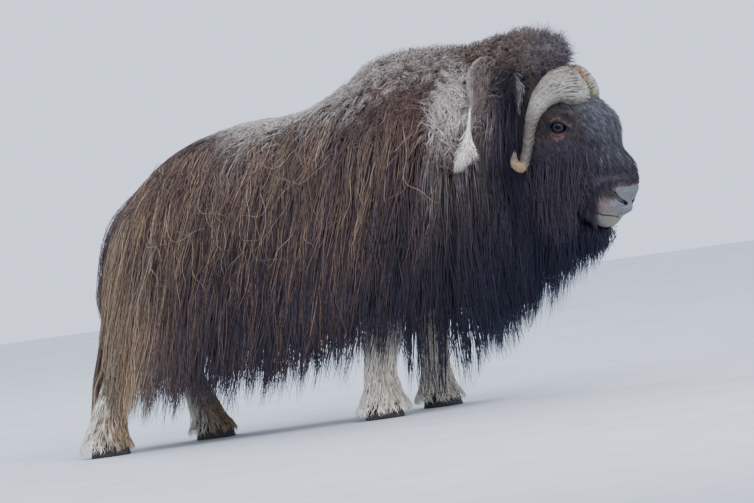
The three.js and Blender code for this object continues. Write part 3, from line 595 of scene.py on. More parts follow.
    def relief(self, points: Array, out: Array) -> Array:
        """Return points of the bare head with its brows, hollows, muzzle and lips worked in.

        Args:
            points: Points in the head's own plane.
            out: The outward direction at each.

        Returns:
            The points moved.
        """
        forward, left, height = points[..., 0], np.abs(points[..., 1]), points[..., 2]
        shorn = self.fur * smooth(0.768, 0.800, height) * smooth(0.10, 0.3, forward)
        moved = points - out * shorn[..., None]
        for centre, size, rise, way in self.mounds:
            gap = ((forward - centre[0]) / size[0]) ** 2 + ((left - centre[1]) / size[1]) ** 2
            share = rise * np.exp(-gap - ((height - centre[2]) / size[2]) ** 2)
            heading = out if way is None else unit(np.array(way, float))
            moved = moved + heading * share[..., None]
        philtrum = np.exp(-((left / 0.0035) ** 2)) * smooth(0.63, 0.65, height) * smooth(0.725, 0.70, height)
        moved = moved - out * (0.003 * philtrum * smooth(0.38, 0.42, forward))[..., None]
        pores = Drift(8, 0.010, 30)(forward + left, height)
        pores = pores * smooth(0.77, 0.74, height) * smooth(0.36, 0.40, forward)
        return moved + out * (0.0003 * pores)[..., None]

    def skin(self, steps: int, sides: int) -> Mesh:
        """Return the closed mesh of the head, finer towards the muzzle, with a round end."""
        along = np.linspace(0.0, 1.0, steps)
        share = (along + 0.35 * along * (1 - along) * (2 * along - 0.4))[:, None]
        share = np.clip(share / share.max(), 0.0, 1.0)
        angle = around(sides)
        wall, out = self.wall(share, angle), self.wall_out(share, angle)
        edge, front = wall[-1], unit(np.array([0.66, 0.0, -0.75]))
        middle = edge.mean(0)
        rings, ways = [wall], [out]
        for turn in np.linspace(0.0, 1.0, 26)[1:-1] * math.pi / 2:
            rings.append((middle + (edge - middle) * math.cos(turn) + front * 0.012 * math.sin(turn))[None])
            ways.append(unit(out[-1] * math.cos(turn) + front * math.sin(turn))[None])
        points = np.concatenate(rings)
        return loft(self.turned(self.relief(points, np.concatenate(ways))))

    def dome(self, steps: int, sides: int) -> Mesh:
        """Return the closed mesh of the low dome of the crown."""
        ball = sphere(steps, sides, 0.06)[..., [1, 0, 2]]
        return loft(self.turned(np.array(self.crown) + ball * np.array(self.crown_reach) * 0.9))

    def rope(self, spots: Array, radii: Array, steps: int, sides: int) -> Mesh:
        """Return the closed mesh of a rope through points of the head's own plane.

        Args:
            spots: The points.
            radii: The rope's radius at evenly spaced shares of its length.
            steps: Sections along it.
            sides: Points around it.

        Returns:
            Points and triangles, in the part's place.
        """
        share = np.linspace(0.0, 1.0, steps)
        path = smooth_rows(np.array(spots), share)
        course = unit(np.gradient(path, axis=0))
        across = unit(np.cross(course, [0.0, 0.0, 1.0]))
        above = np.cross(across, course)
        angle = around(sides)[..., None]
        radius = np.interp(share, np.linspace(0, 1, len(radii)), radii)[:, None, None]
        turn = across[:, None] * np.sin(angle) + above[:, None] * np.cos(angle)
        return loft(self.turned(path[:, None] + radius * turn))

    def eye_axes(self) -> tuple[Array, Array, Array]:
        """Return the way the left eye looks, its long direction towards the nose and its upward one."""
        look = unit(np.array(self.eye_look))
        long = np.array([1.0, -self.eye_look[0], self.eye_tilt])
        long = unit(long - look * (long @ look))
        return look, long, unit(np.cross(long, look))

    def slit(self, angle: Array) -> tuple[Array, Array]:
        """Return the edge between the lids: how far along and above the eye's middle."""
        high = self.eye_slit[1] * np.sin(angle) * np.abs(np.sin(angle)) ** 0.15
        return self.eye_slit[0] * np.cos(angle), high

    def eye_opening(self, side: Side) -> Mesh:
        """Return the closed mesh that is cut out between the lids."""
        look, long, above = self.eye_axes()
        reach = np.array([0.0, 0.5, 1.0])[:, None, None] * self.eye_radius * 2.2
        wide, high = self.slit(around(48)[..., None])
        wider = 1 + 0.10 * reach / self.eye_radius
        points = np.array(self.eye) + look * reach + long * (wide * wider) + above * high * wider
        return loft(self.turned(points * side.flip))

    def lid_rim(self, side: Side) -> Mesh:
        """Return the round margin of the lids, as a closed ring."""
        look, long, above = self.eye_axes()
        wide, high = self.slit(around(72)[0])
        flat = (long * wide[:, None] + above * high[:, None]) * 1.08
        deep = np.sqrt(np.maximum((self.eye_radius + self.lid) ** 2 - (flat**2).sum(-1), 1e-6))
        path = (np.array(self.eye) + flat + look * deep[:, None]) * side.flip
        course = unit(np.roll(path, -1, 0) - np.roll(path, 1, 0))
        out = unit(path - path.mean(0))
        out = unit(out - course * (out * course).sum(-1, keepdims=True))
        angle = around(10)[..., None]
        turn = out[:, None] * np.cos(angle) + np.cross(course, out)[:, None] * np.sin(angle)
        return loft(self.turned(path[:, None] + self.lid_edge * turn), ring=True)

    def additions(self) -> list[Mesh]:
        """Return what is joined to the head: the rounds of the lids, their margins and the eyelid folds."""
        made = []
        look, long, above = self.eye_axes()
        for side in Side:
            lid = np.array(self.eye) * side.flip + (self.eye_radius + self.lid) * sphere(40, 64, 0.04)
            made += [loft(self.turned(lid)), self.lid_rim(side)]
            for spots, radius in self.folds:
                path = np.array([np.array(self.eye) + long * a + above * b + look * c for a, b, c in spots])
                made.append(self.rope(path * side.flip, [0.001, radius, radius, radius, 0.001], 30, 10))
        return made

    def on_surface(self, line: list, steps: int, depth: float) -> Array:
        """Return points along a line on the left of the head, sunk into it by a depth."""
        share, angle = smooth_rows(np.array(line), np.linspace(0.0, 1.0, steps)).T
        share = np.clip(share, 0, 1)
        out = self.wall_out(share, angle)
        return self.relief(self.wall(share, angle), out) - out * depth

    def from_eye(self, points: Array) -> tuple[Array, Array]:
        """Return how far points of the head lie before and above the middle of the nearer eye."""
        _, long, above = self.eye_axes()
        near = together(points[..., 0], np.abs(points[..., 1]), points[..., 2]) - np.array(self.eye)
        return near @ long, near @ above

    def openings(self) -> list[Mesh]:
        """Return what is cut out of the head: between the lids, the nostrils and the line of the mouth."""
        made = [self.eye_opening(side) for side in Side]
        for side in Side:
            for depth, wide in ((0.0005, 0.0054), (0.0070, 0.0070)):
                path = self.on_surface(self.nostril, 14, depth) * side.flip
                radii = [wide, 1.2 * wide, wide, 0.8 * wide, 0.8 * wide, 0.2 * wide]
                made.append(self.rope(path, radii, 40, 16))
        half = self.on_surface(self.mouth, 16, 0.0008)
        line = np.concatenate([half, half[:-1][::-1] * Side.RIGHT.flip])
        radii = [0.0008, 0.0016, 0.0020, 0.0022, 0.0034, 0.0030, 0.0024]
        made.append(self.rope(line, radii + radii[:-1][::-1], 120, 10))
        return made


@dataclass
class Leg:
    """One leg: a run of oval sections from the hoof up into the body."""

    name: str
    side: float
    hoof: float
    line: list  # place, height, half length and half width of each section

    def wall(self, share: Array, angle: Array, inset: float = 0.0) -> Array:
        """Return points on the leg, at a share of its height and an angle from its outer side."""
        share, angle = np.broadcast_arrays(share, angle)
        at, height, length, width = np.moveaxis(smooth_rows(np.array(self.line), share), -1, 0)
        fore, across = (length - inset) * np.sin(angle), (width - inset) * np.cos(angle)
        return together(at + fore, self.side + across, height)

    def share_at(self, height: Array) -> Array:
        """Return the share of the leg's run at a height."""
        run = np.linspace(0.0, 1.0, 200)
        return np.interp(height, smooth_rows(np.array(self.line), run)[:, 1], run)

    def skin(self, steps: int, sides: int, inset: float) -> Mesh:
        """Return the closed mesh of the leg, thinner than the line by the inset."""
        return loft(self.wall(np.linspace(0.0, 1.0, steps)[:, None], around(sides), inset))


LEGS = [
    Leg("front_right", -0.165, 0.049, [
        [0.049, 0.056, 0.096, 0.074], [0.052, 0.110, 0.072, 0.060], [0.058, 0.200, 0.062, 0.054],
        [0.090, 0.330, 0.076, 0.062], [0.150, 0.470, 0.092, 0.074],
    ]),
    Leg("front_left", 0.165, 0.272, [
        [0.262, 0.056, 0.084, 0.072], [0.262, 0.110, 0.062, 0.058], [0.266, 0.200, 0.054, 0.052],
        [0.270, 0.330, 0.072, 0.062], [0.290, 0.470, 0.090, 0.074],
    ]),
    Leg("hind_right", -0.155, -0.985, [
        [-1.000, 0.056, 0.092, 0.074], [-0.985, 0.110, 0.076, 0.060], [-0.955, 0.200, 0.062, 0.052],
        [-0.885, 0.330, 0.066, 0.056], [-0.800, 0.470, 0.090, 0.072],
    ]),
    Leg("hind_left", 0.155, -0.592, [
        [-0.602, 0.056, 0.080, 0.072], [-0.616, 0.110, 0.062, 0.058], [-0.640, 0.200, 0.052, 0.050],
        [-0.690, 0.330, 0.062, 0.056], [-0.700, 0.470, 0.090, 0.072],
    ]),
]


@dataclass
class Strands:
    """A batch of hairs, each a smooth path with a flat tapered section."""

    paths: Array  # (hairs, steps, 3), in the part's place
    outward: Array  # (hairs, steps, 3) or (hairs, 3), away from the body
    width: Array  # half width of each hair at its widest
    # Each hair is darker at its root than at its tip, as painted shade deep in the coat.
    root_colour: Array  # (hairs, 3)
    tip_colour: Array  # (hairs, 3)

    def __post_init__(self) -> None:
        """Spread an outward way that is given once for each hair over its steps."""
        if self.outward.ndim == 2:
            self.outward = np.repeat(self.outward[:, None, :], self.paths.shape[1], axis=1)

    @property
    def values(self) -> tuple[Array, ...]:
        """Every array of the batch, in the order of the fields."""
        return self.paths, self.outward, self.width, self.root_colour, self.tip_colour

    @property
    def triangles_each(self) -> int:
        """How many triangles one hair takes."""
        return 6 * (self.paths.shape[1] - 2) + 4

    def part(self, chosen: slice) -> Strands:
        """Return some of the hairs."""
        return Strands(*(value[chosen] for value in self.values))

    def mesh(self) -> tuple[Array, Array, Array, Array]:
        """Build the hairs as closed three-sided prisms that run out to a point.

        Returns:
            Points, triangles, the share of its hair's length at each point, and the hair of each point.
        """
        count, steps = self.paths.shape[:2]
        share = np.linspace(0.0, 1.0, steps)
        taper = (0.55 + 0.45 * smooth(0.0, 0.25, share)) * (1.0 - share**2.2 * 0.85)
        tangent = unit(np.gradient(self.paths, axis=1))
        across = unit(np.cross(tangent, self.outward))
        out = np.cross(across, tangent)[:, :-1]
        across = across[:, :-1]
        half = (self.width[:, None, None] * taper[None, :, None])[:, :-1]
        body = self.paths[:, :-1]
        ridge = body + out * half * 2 * HAIR_FLAT
        ring = np.stack([body - across * half, body + across * half, ridge], axis=2)
        points = np.concatenate([ring.reshape(count, -1, 3), self.paths[:, -1:]], axis=1)
        each = points.shape[1]
        faces = [[0, 2, 1]]
        for step in range(steps - 2):
            for side in range(3):
                a, b = 3 * step + side, 3 * step + (side + 1) % 3
                faces += [[a, b, b + 3], [a, b + 3, a + 3]]
        last = 3 * (steps - 2)
        faces += [[last + side, last + (side + 1) % 3, each - 1] for side in range(3)]
        triangles = (np.arange(count)[:, None, None] * each + np.array(faces)[None]).reshape(-1, 3)
        point_share = np.tile(np.append(np.repeat(share[:-1], 3), 1.0), count)
        return points.reshape(-1, 3), triangles, point_share, np.repeat(np.arange(count), each)


def joined(batches: list[Strands]) -> Strands:
    """Return several batches of hairs as one."""
    return Strands(*(np.concatenate(values) for values in zip(*(batch.values for batch in batches))))


def locks(rng: np.random.Generator, roots: Array, each: int, spread: tuple,
          gather: float) -> tuple[Array, Array, Array]:
    """Give each lock's guide its hairs.

    Args:
        rng: The random draws.
        roots: Two numbers that place each guide's root.
        each: How many hairs a lock has.
        spread: How far the hairs' roots lie from the guide's, in each of the two numbers.
        gather: How far the hairs have come together at the tip, from 0 to 1.

    Returns:
        The guide of each hair, the hair's shift from it at the root, and how much of that is left at the tip.
    """
    guide = np.repeat(np.arange(len(roots)), each)
    turn = rng.uniform(0, TURN, len(guide))
    reach = np.sqrt(rng.uniform(0, 1, len(guide)))
    shift = np.stack([np.cos(turn) * reach * spread[0], np.sin(turn) * reach * spread[1]], -1)
    left = 1.0 - gather * rng.uniform(0.7, 1.15, len(guide))
    return guide, shift, left


def scattered(rng: np.random.Generator, low: tuple, high: tuple, apart: tuple) -> Array:
    """Return points spread evenly, but not in rows, over a rectangle."""
    counts = [max(1, round((h - l) / a)) for l, h, a in zip(low, high, apart)]
    first, second = np.meshgrid(np.arange(counts[0]), np.arange(counts[1]), indexing="ij")
    spots = np.stack([first.ravel(), second.ravel()], -1) + 0.5
    spots[:, 0] += 0.5 * (spots[:, 1].astype(int) % 2) - 0.25
    spots += rng.uniform(-0.42, 0.42, spots.shape)
    return np.array(low) + spots / np.array(counts) * (np.array(high) - np.array(low))


class Palette:
    """The colours of the coat, as linear values."""

    DARK = tint("#453b45")
    INK = tint("#16172b")
    BROWN = tint("#5b4945")
    UMBER = tint("#6a5148")
    GINGER = tint("#98795a")
    TAN = tint("#c6b293")
    SADDLE = tint("#cbc4ba")
    GREY = tint("#c8beb5")
    SMOKE = tint("#6b6266")
    FUZZ = tint("#7b6c60")
    CHEEK = tint("#3a3440")
    FLEECE = tint("#ddd4c8")
    RUFF = tint("#a89a92")
    STOCKING = tint("#f1e9d8")
    SOCK_TAN = tint("#9c8261")
    SOCK_DARK = tint("#776859")


class Drift:
    """A soft seeded unevenness over two numbers, made of a few waves."""

    def __init__(self, seed: int, size: float, waves: int = 9) -> None:
        """Draw the waves, whose length is about the given size."""
        rng = np.random.default_rng(seed)
        turn = rng.uniform(0, TURN, waves)
        speed = TURN / size * rng.uniform(0.5, 1.6, waves)
        self.way = np.stack([np.cos(turn) * speed, np.sin(turn) * speed])
        self.phase = rng.uniform(0, TURN, waves)
        self.scale = math.sqrt(2.0 / waves)

    def __call__(self, first: Array, second: Array) -> Array:
        """Return the unevenness at points, mostly between -2 and 2."""
        waves = np.multiply.outer(first, self.way[0]) + np.multiply.outer(second, self.way[1])
        return np.sin(waves + self.phase).sum(-1) * self.scale


class Paint:
    """Colours that are laid over each other on a surface."""

    def __init__(self, ground: Array, shape: tuple) -> None:
        """Start with one colour all over."""
        self.colour = np.broadcast_to(ground, (*shape, 3)).copy()

    def lay(self, colour: Array, share: Array) -> None:
        """Lay one colour over what is there, by a share for each point."""
        share = np.clip(np.broadcast_to(share, self.colour.shape[:-1]), 0, 1)
        self.colour = blend(self.colour, colour, share[..., None])


@dataclass
class Markings:
    """Where each colour lies on the body, for the skin and the coat alike."""

    streaks: Drift = field(default_factory=lambda: Drift(3, 0.22))
    blotches: Drift = field(default_factory=lambda: Drift(4, 0.07))

    def body(self, along: Array, height: Array) -> Array:
        """Return the colour of the coat where its hair is rooted.

        Args:
            along: Distance along the animal, in the part's place.
            height: Height over the ground.

        Returns:
            Linear colours.
        """
        paint_over = Paint(Palette.DARK, np.shape(along))
        lay = paint_over.lay
        streak = self.streaks(along * 1.6, height * 0.5)
        blotch = self.blotches(along, height)
        top = np.interp(along, [-1.0, -0.7, -0.45, 0.0, 0.15, 0.5], [0.85, 1.0, 1.1, 1.2, 1.32, 1.35])
        under = top - height
        lay(Palette.BROWN, smooth(0.62, 0.25, under + 0.06 * streak) * smooth(0.62, 0.35, along))
        lay(Palette.UMBER, (0.25 + 0.35 * streak) * smooth(0.75, 0.3, under) * smooth(0.5, 0.3, along))
        lay(Palette.TAN, (0.75 + 0.3 * streak) * smooth(-0.76, -0.98, along) * smooth(0.95, 0.45, height))
        lay(Palette.GINGER, (0.2 + 0.3 * streak) * smooth(-0.6, -0.8, along))
        saddle = smooth(-0.46, -0.26, along) * smooth(0.10, -0.02, along)
        lay(Palette.SADDLE, saddle * smooth(0.095, 0.015, under + 0.025 * blotch))
        pale = smooth(-0.02, 0.10, along) * smooth(0.60, 0.44, along)
        lay(Palette.GREY, 0.90 * pale * smooth(0.17, 0.02, under + 0.05 * blotch))
        lay(Palette.FUZZ, 0.85 * smooth(0.46, 0.54, along) * smooth(1.05, 1.2, height))
        lay(Palette.SMOKE, 0.8 * smooth(0.66, 0.76, along) * smooth(0.95, 1.1, height))
        shoulder = smooth(0.1, 0.3, along) * smooth(0.62, 0.5, along) * smooth(0.75, 0.95, height)
        lay(Palette.UMBER, (0.3 + 0.5 * smooth(1.26, 1.12, height)) * shoulder)
        lay(Palette.INK, self.dusk(along, height))
        lay(Palette.INK, 0.6 * smooth(0.75, 0.5, height + 0.05 * streak) * smooth(-0.75, -0.5, along))
        patch = np.hypot((along - 0.445 - 0.3 * (height - 1.1)) / 0.085, (height - 1.10) / 0.165)
        lay(Palette.GREY, smooth(1.15, 0.75, patch + 0.12 * blotch))
        below_ruff = np.hypot((along - 0.555) / 0.06, (height - 1.03) / 0.16)
        lay(Palette.RUFF, (0.45 + 0.15 * blotch) * smooth(1.15, 0.6, below_ruff))
        # Painted shade: near-black in the hollow of the wool around the ear, where the neck meets the head.
        hollow = np.hypot((along - 0.675) / 0.10, (height - 1.06) / 0.20)
        lay(Palette.INK, 0.85 * smooth(1.1, 0.7, hollow))
        return paint_over.colour

    @staticmethod
    def dusk(along: Array, height: Array) -> Array:
        """Return how far the coat is blue-black, behind the elbow and on the chest."""
        reach = along + 0.3 * (1.0 - height)
        dark = 0.40 * smooth(0.10, 0.30, reach) + 0.50 * smooth(0.30, 0.55, reach)
        return dark * smooth(0.88, 0.66, height)

    def leg(self, leg: Leg, fore: Array, height: Array) -> Array:
        """Return the colours of a leg, at places before (1) or behind (-1) its middle."""
        hind = leg.hoof < -0.3
        tan = smooth(-0.6, 0.3, fore + 0.4 * self.blotches(fore * 0.1, height * 2))
        dark = (0.8 if hind else 0.3) * smooth(0.25, 0.38, height)
        colour = blend(Palette.STOCKING, Palette.SOCK_TAN, ((0.95 if hind else 0.3) * tan)[..., None])
        return blend(colour, Palette.SOCK_DARK, dark[..., None])


@dataclass
class FaceMarkings:
    """Where each colour lies on the head, in the head's own plane."""

    DARK = tint("#37313a")
    BROWN = tint("#3b3230")
    SHEEN = tint("#5f5f66")
    LASH = tint("#17141a")
    LID = tint("#664d3f")
    UNDER_EYE = tint("#5c463e")
    RIM = tint("#5d4a43")
    PAD = tint("#6d6d6d")
    LIP = tint("#6e7278")
    BLUSH = tint("#7a6a66")
    CHIN = tint("#7f7a72")
    MOSS = tint("#7f7a5c")
    # Painted shade inside the nostrils and the mouth, and under the chin.
    INSIDE = tint("#0e0d13")
    # Points before and above the middle of the eye: the crease over it, and its two corners.
    CREASE = np.array([
        (-0.031, 0.020), (-0.018, 0.031), (-0.004, 0.034), (0.012, 0.027), (0.030, 0.014), (0.046, 0.012),
    ])
    FRONT_CORNER = np.array([(0.026, -0.001), (0.037, -0.003), (0.044, -0.005)])
    REAR_CORNER = np.array([(-0.026, 0.001), (-0.036, 0.003), (-0.043, 0.004)])
    # The line of the nose from the side: heights, and the place forward at each.
    NOSE_FRONT = ([0.6, 0.78, 0.90, 1.0, 1.1, 1.2], [0.36, 0.47, 0.42, 0.41, 0.34, 0.2])
    # Where the bare nose ends above: places forward, and the height at each.
    NOSE_EDGE = ([0.405, 0.420, 0.442, 0.467, 0.481, 0.490], [0.705, 0.724, 0.739, 0.731, 0.736, 0.752])
    blotches: Drift = field(default_factory=lambda: Drift(9, 0.035))
    grains: Drift = field(default_factory=lambda: Drift(10, 0.009, 30))

    def colour(self, points: Array, head: Head) -> Array:
        """Return the colours at points of the head.

        Args:
            points: Points in the head's own plane.
            head: The head's sizes.

        Returns:
            Linear colours.
        """
        forward, left, height = points[..., 0], np.abs(points[..., 1]), points[..., 2]
        paint_over = Paint(self.DARK, forward.shape)
        lay = paint_over.lay
        blotch = self.blotches(forward + 0.7 * left, height)
        grain = self.grains(forward + 0.7 * left, height)
        rough = 0.004 * blotch + 0.002 * grain
        lay(self.BROWN, smooth(0.90, 0.98, height) * smooth(0.38, 0.30, forward))
        front = forward - np.interp(height, *self.NOSE_FRONT)
        # Painted sheen: sky light reflected on the fur of the nose's front, stronger higher up on the
        # forehead.
        high = blend(0.45, 0.95, smooth(0.88, 1.02, height))
        lay(self.SHEEN, high * smooth(-0.10, 0.0, front + 0.015 * blotch) * smooth(0.80, 0.86, height))
        across, up = head.from_eye(points)
        spot = np.stack([across, up], -1)
        gap = np.hypot(across, up)
        lay(self.LASH, 0.45 * smooth(0.085, 0.045, gap))
        below = np.hypot((across + 0.003) / 0.032, (up + 0.031) / 0.021)
        lay(self.UNDER_EYE, 0.9 * smooth(1.15, 0.65, below + 0.1 * grain))
        lay(self.LID, 0.7 * smooth(0.0070, 0.0025, near_line(spot, self.CREASE) + 0.0007 * grain))
        opening = np.hypot(across / (1.12 * head.eye_slit[0]), up / head.eye_slit[1])
        lay(self.LASH, smooth(1.36, 1.12, opening) * smooth(0.06, 0.05, gap))
        corner = np.minimum(near_line(spot, self.FRONT_CORNER), near_line(spot, self.REAR_CORNER))
        lay(self.LASH, smooth(0.0072, 0.0030, corner))
        edge = height - np.interp(forward, *self.NOSE_EDGE)
        lay(self.RIM, 0.9 * smooth(0.036, 0.006, edge + 3 * rough) * smooth(0.37, 0.41, forward))
        lay(self.BLUSH, smooth(0.726, 0.706, height + rough) * smooth(0.334, 0.352, forward + 2 * rough))
        specks = 0.35 * smooth(0.3, 1.5, grain) * smooth(0.74, 0.70, height)
        lay(self.BROWN, specks * smooth(0.34, 0.36, forward))
        lay(self.CHIN, smooth(0.655, 0.640, height + rough) * smooth(0.292, 0.312, forward + rough))
        mossy = smooth(0.634, 0.622, height + rough) * smooth(0.354, 0.370, forward)
        lay(self.MOSS, 0.5 * mossy * smooth(0.0, 0.02, left))
        bare = smooth(0.004, -0.002, edge + rough) * smooth(0.398, 0.420, forward + 2 * rough)
        bare = bare * (height > 0.60) * smooth(0.628, 0.640, height)
        lay(self.PAD, bare)
        lay(self.LIP, bare * smooth(0.700, 0.680, height + 0.9 * (forward - 0.435)))
        uneven = 0.08 * np.clip(grain + 0.5 * blotch, -1.8, 1.8) * smooth(0.76, 0.73, height)
        paint_over.colour *= 1.0 + uneven[..., None]
        # Painted shade: near-black inside the nostrils, along the line of the mouth and under the chin.
        near = together(forward, left, height)
        nostril = near_line(near, head.on_surface(head.nostril, 14, 0.002))
        lay(self.INSIDE, smooth(0.0092, 0.0064, nostril))
        mouth = near_line(near, head.on_surface(head.mouth, 16, 0.0008))
        lay(self.INSIDE, 0.75 * smooth(0.0042, 0.0022, mouth))
        lay(self.INSIDE, smooth(0.598, 0.590, height))
        return paint_over.colour


@dataclass(frozen=True)
class Drape:
    """How a layer of long hair hangs."""

    each: int  # hairs in a lock
    steps: int  # points along a hair
    spread: tuple  # how far a lock's roots lie from its middle, along and down
    gather: float  # how far its hairs come together at the tip
    width: tuple  # half width of a hair, least and most
    lengths: tuple  # levels down the body, and the length of hair rooted there
    layer: tuple  # the depths in the coat where the tips lie
    tone: tuple = (0.2, 0.28)  # how uneven the brightness is, by lock and by hair
    light: float = 0.12  # share of light hairs
    wave: float = 0.005  # how far a hair swings to its sides
    turns: tuple = (0.6, 1.6)  # how often it does so
    lowest: float = 2.0  # the level of the hem


@dataclass
class Coat:
    """All the hair of the animal, in batches that hang, lie or curl as each part of the body has it."""

    trunk: Trunk
    head: Head
    legs: list
    markings: Markings
    face_marks: FaceMarkings

    def __post_init__(self) -> None:
        """Start the random draws."""
        self.rng = np.random.default_rng(SEED)

    def column(self, low: float, high: float, count: int) -> Array:
        """Return evenly drawn numbers, one for each hair, as a column."""
        return self.rng.uniform(low, high, count)[:, None]

    def waves(self, count: int, share: Array, size: Array, turns: tuple) -> Array:
        """Return a soft wave along each hair, growing from its root."""
        phase = self.column(0, TURN, count)
        speed = self.column(*turns, count)
        return np.asarray(size).reshape(-1, 1) * share * np.sin(phase + TURN * speed * share)

    def toned(self, paths: Array, outward: Array, colours: tuple, uneven: float, width: tuple) -> Strands:
        """Finish a batch of hairs.

        Args:
            paths: The points of each hair.
            outward: The way out of the coat.
            colours: The colours at the roots and at the tips.
            uneven: How much the brightness differs from hair to hair.
            width: Half the width of a hair, least and most.

        Returns:
            The hairs.
        """
        tone = self.rng.lognormal(0, uneven, len(paths))[:, None]
        width = self.rng.uniform(*width, len(paths))
        return Strands(paths, outward, width, colours[0] * tone, colours[1] * tone)

    def body_colour(self, paths: Array, step: int = 0) -> Array:
        """Return the body's colour at one step of each hair."""
        return self.markings.body(paths[:, step, 0], paths[:, step, 2])

    @staticmethod
    def below_hem(place: Array) -> Array:
        """Return how far, in levels, the hair before the forelegs hangs below the hem."""
        return 0.26 * smooth(0.24, 0.36, place) * smooth(0.60, 0.50, place)

    @staticmethod
    def slope(place: Array, level: Array) -> Array:
        """Return how far the hair runs along the body for each metre that it falls."""
        behind = blend(-0.24, -0.02, smooth(0.7, 1.7, level))
        before = blend(-0.02, 0.16, smooth(0.5, 1.2, level))
        return blend(behind, before, smooth(0.15, 0.55, place))

    def drape(self, roots: Array, side: int, style: Drape) -> Strands:
        """Hang long hair on one side of the body.

        Args:
            roots: Place along the body and fall from the crest of each lock.
            side: 1 for the left side, -1 for the right.
            style: How the hair hangs.

        Returns:
            The hairs.
        """
        rng, trunk = self.rng, self.trunk
        guide, shift, left = locks(rng, roots, style.each, style.spread, style.gather)
        share = even(style.steps)
        count, tufts = len(guide), len(roots)
        place0, fall0 = roots[guide, 0], roots[guide, 1]
        level0 = trunk.level(place0, fall0)
        length = np.interp(level0, *style.lengths) * rng.uniform(0.72, 1.2, tufts)[guide]
        length = length * rng.uniform(0.8, 1.1, count)
        lowest = style.lowest + rng.normal(0, 0.05, tufts)[guide] + rng.normal(0, 0.06, count)
        lowest = lowest + self.below_hem(place0)
        length = np.minimum(length, trunk.fall(place0, lowest) - fall0)
        slope = self.slope(place0, level0) + rng.normal(0, 0.05, tufts)[guide] + rng.normal(0, 0.02, count)
        later = self.slope(place0, level0 + length / 0.55)
        keep = blend(1.0, left[:, None], share**0.7)
        place = place0[:, None] + shift[:, :1] * keep
        place = place + length[:, None] * share * blend(slope[:, None], later[:, None], share * 0.5)
        place = place + self.waves(count, share, style.wave * rng.uniform(0.5, 1.5, count), style.turns)
        place = place + self.waves(tufts, share, style.wave * 1.6, (0.4, 0.9))[guide]
        fall = fall0[:, None] + shift[:, 1:] * keep + length[:, None] * share
        fall = np.clip(fall, 0.001, trunk.fall(place, style.lowest + 0.08 + self.below_hem(place)))
        layer = self.column(0, 1, count)
        stand = blend(*style.layer, layer) + rng.normal(0, 0.03, tufts)[guide][:, None]
        depth = blend(trunk.core - 0.03, stand, np.minimum(share / 0.4, 1.0) ** 0.75)
        depth = depth + self.waves(count, share, 0.04, (0.6, 1.6))
        paths, outward = trunk.lie(place, side * fall, depth)
        tone = rng.lognormal(0, style.tone[0], tufts)[guide] * rng.lognormal(0, style.tone[1], count)
        light = (rng.uniform(0, 1, count) < style.light)[:, None]
        bright = smooth(1.75, 0.7, level0)[:, None] * smooth(0.62, 0.30, place0)[:, None]
        gold = blend(Palette.UMBER, Palette.GINGER, self.column(0, 1.3, count))
        sandy = (smooth(-0.45, -0.75, place0) + smooth(0.9, 0.3, level0))[:, None]
        sandy = sandy * rng.uniform(0.2, 1.0, (count, 1))
        gold = blend(gold, Palette.TAN * 0.75, np.clip(sandy, 0, 1) * 0.6)
        ends = []
        # Painted shade: each hair is darker at its root, deep in the coat, than at its tip.
        for step, factor in ((0, 0.6), (-1, 1.15)):
            colour = self.body_colour(paths, step)
            lit = np.clip(0.06 + 0.94 * bright, 0, 1)
            lit = lit * (1.0 - 0.9 * self.markings.dusk(paths[:, step, 0], paths[:, step, 2]))[:, None]
            golden = blend(colour, blend(gold, colour, 0.35), lit)
            ends.append(np.where(light, golden, colour) * (factor * tone)[:, None])
        return Strands(paths, outward, rng.uniform(*style.width, count), *ends)

    def hanging_roots(self, apart: float, deepest: float) -> Array:
        """Return the places where locks of long hair are rooted on one side."""
        trunk = self.trunk
        roots = scattered(self.rng, (-0.86, 0.01), (0.77, 1.0), (apart, apart / 1.05))
        roots[:, 1] = trunk.fall(roots[:, 0], roots[:, 1] * deepest)
        level = trunk.level(roots[:, 0], roots[:, 1])
        return roots[level > self.wool_edge(roots)]

    def wool_edge(self, roots: Array) -> Array:
        """Return the level down to which the coat is woolly at each root."""
        lower = 0.30 * np.exp(-(((roots[:, 0] - 0.42) / 0.09) ** 2))
        edge = 0.60 + lower + 0.05 * self.markings.blotches(roots[:, 0], roots[:, 1])
        return np.where(roots[:, 0] > 0.0, edge, 0.0)

    def flanks(self) -> list[Strands]:
        """The long guard hair of the sides: a dark under layer and a streaked outer one."""
        under = Drape(
            each=8, steps=5, spread=(0.05, 0.05), gather=0.6, width=(0.0020, 0.0032),
            lengths=([0.0, 0.6, 1.0, 1.6], [0.14, 0.32, 0.45, 0.45]), layer=(0.55, 0.85),
            tone=(0.12, 0.2), lowest=1.9,
        )
        outer = Drape(
            each=10, steps=7, spread=(0.04, 0.06), gather=0.86, width=(0.0009, 0.0018),
            lengths=([0.0, 0.4, 0.9, 1.6], [0.15, 0.26, 0.46, 0.5]), layer=(0.82, 1.04),
            light=0.42, wave=0.013, turns=(0.7, 2.2),
        )
        return [
            joined([self.drape(self.hanging_roots(apart, 1.55), side, style) for side in (1, -1)])
            for style, apart in ((under, 0.058), (outer, 0.052))
        ]

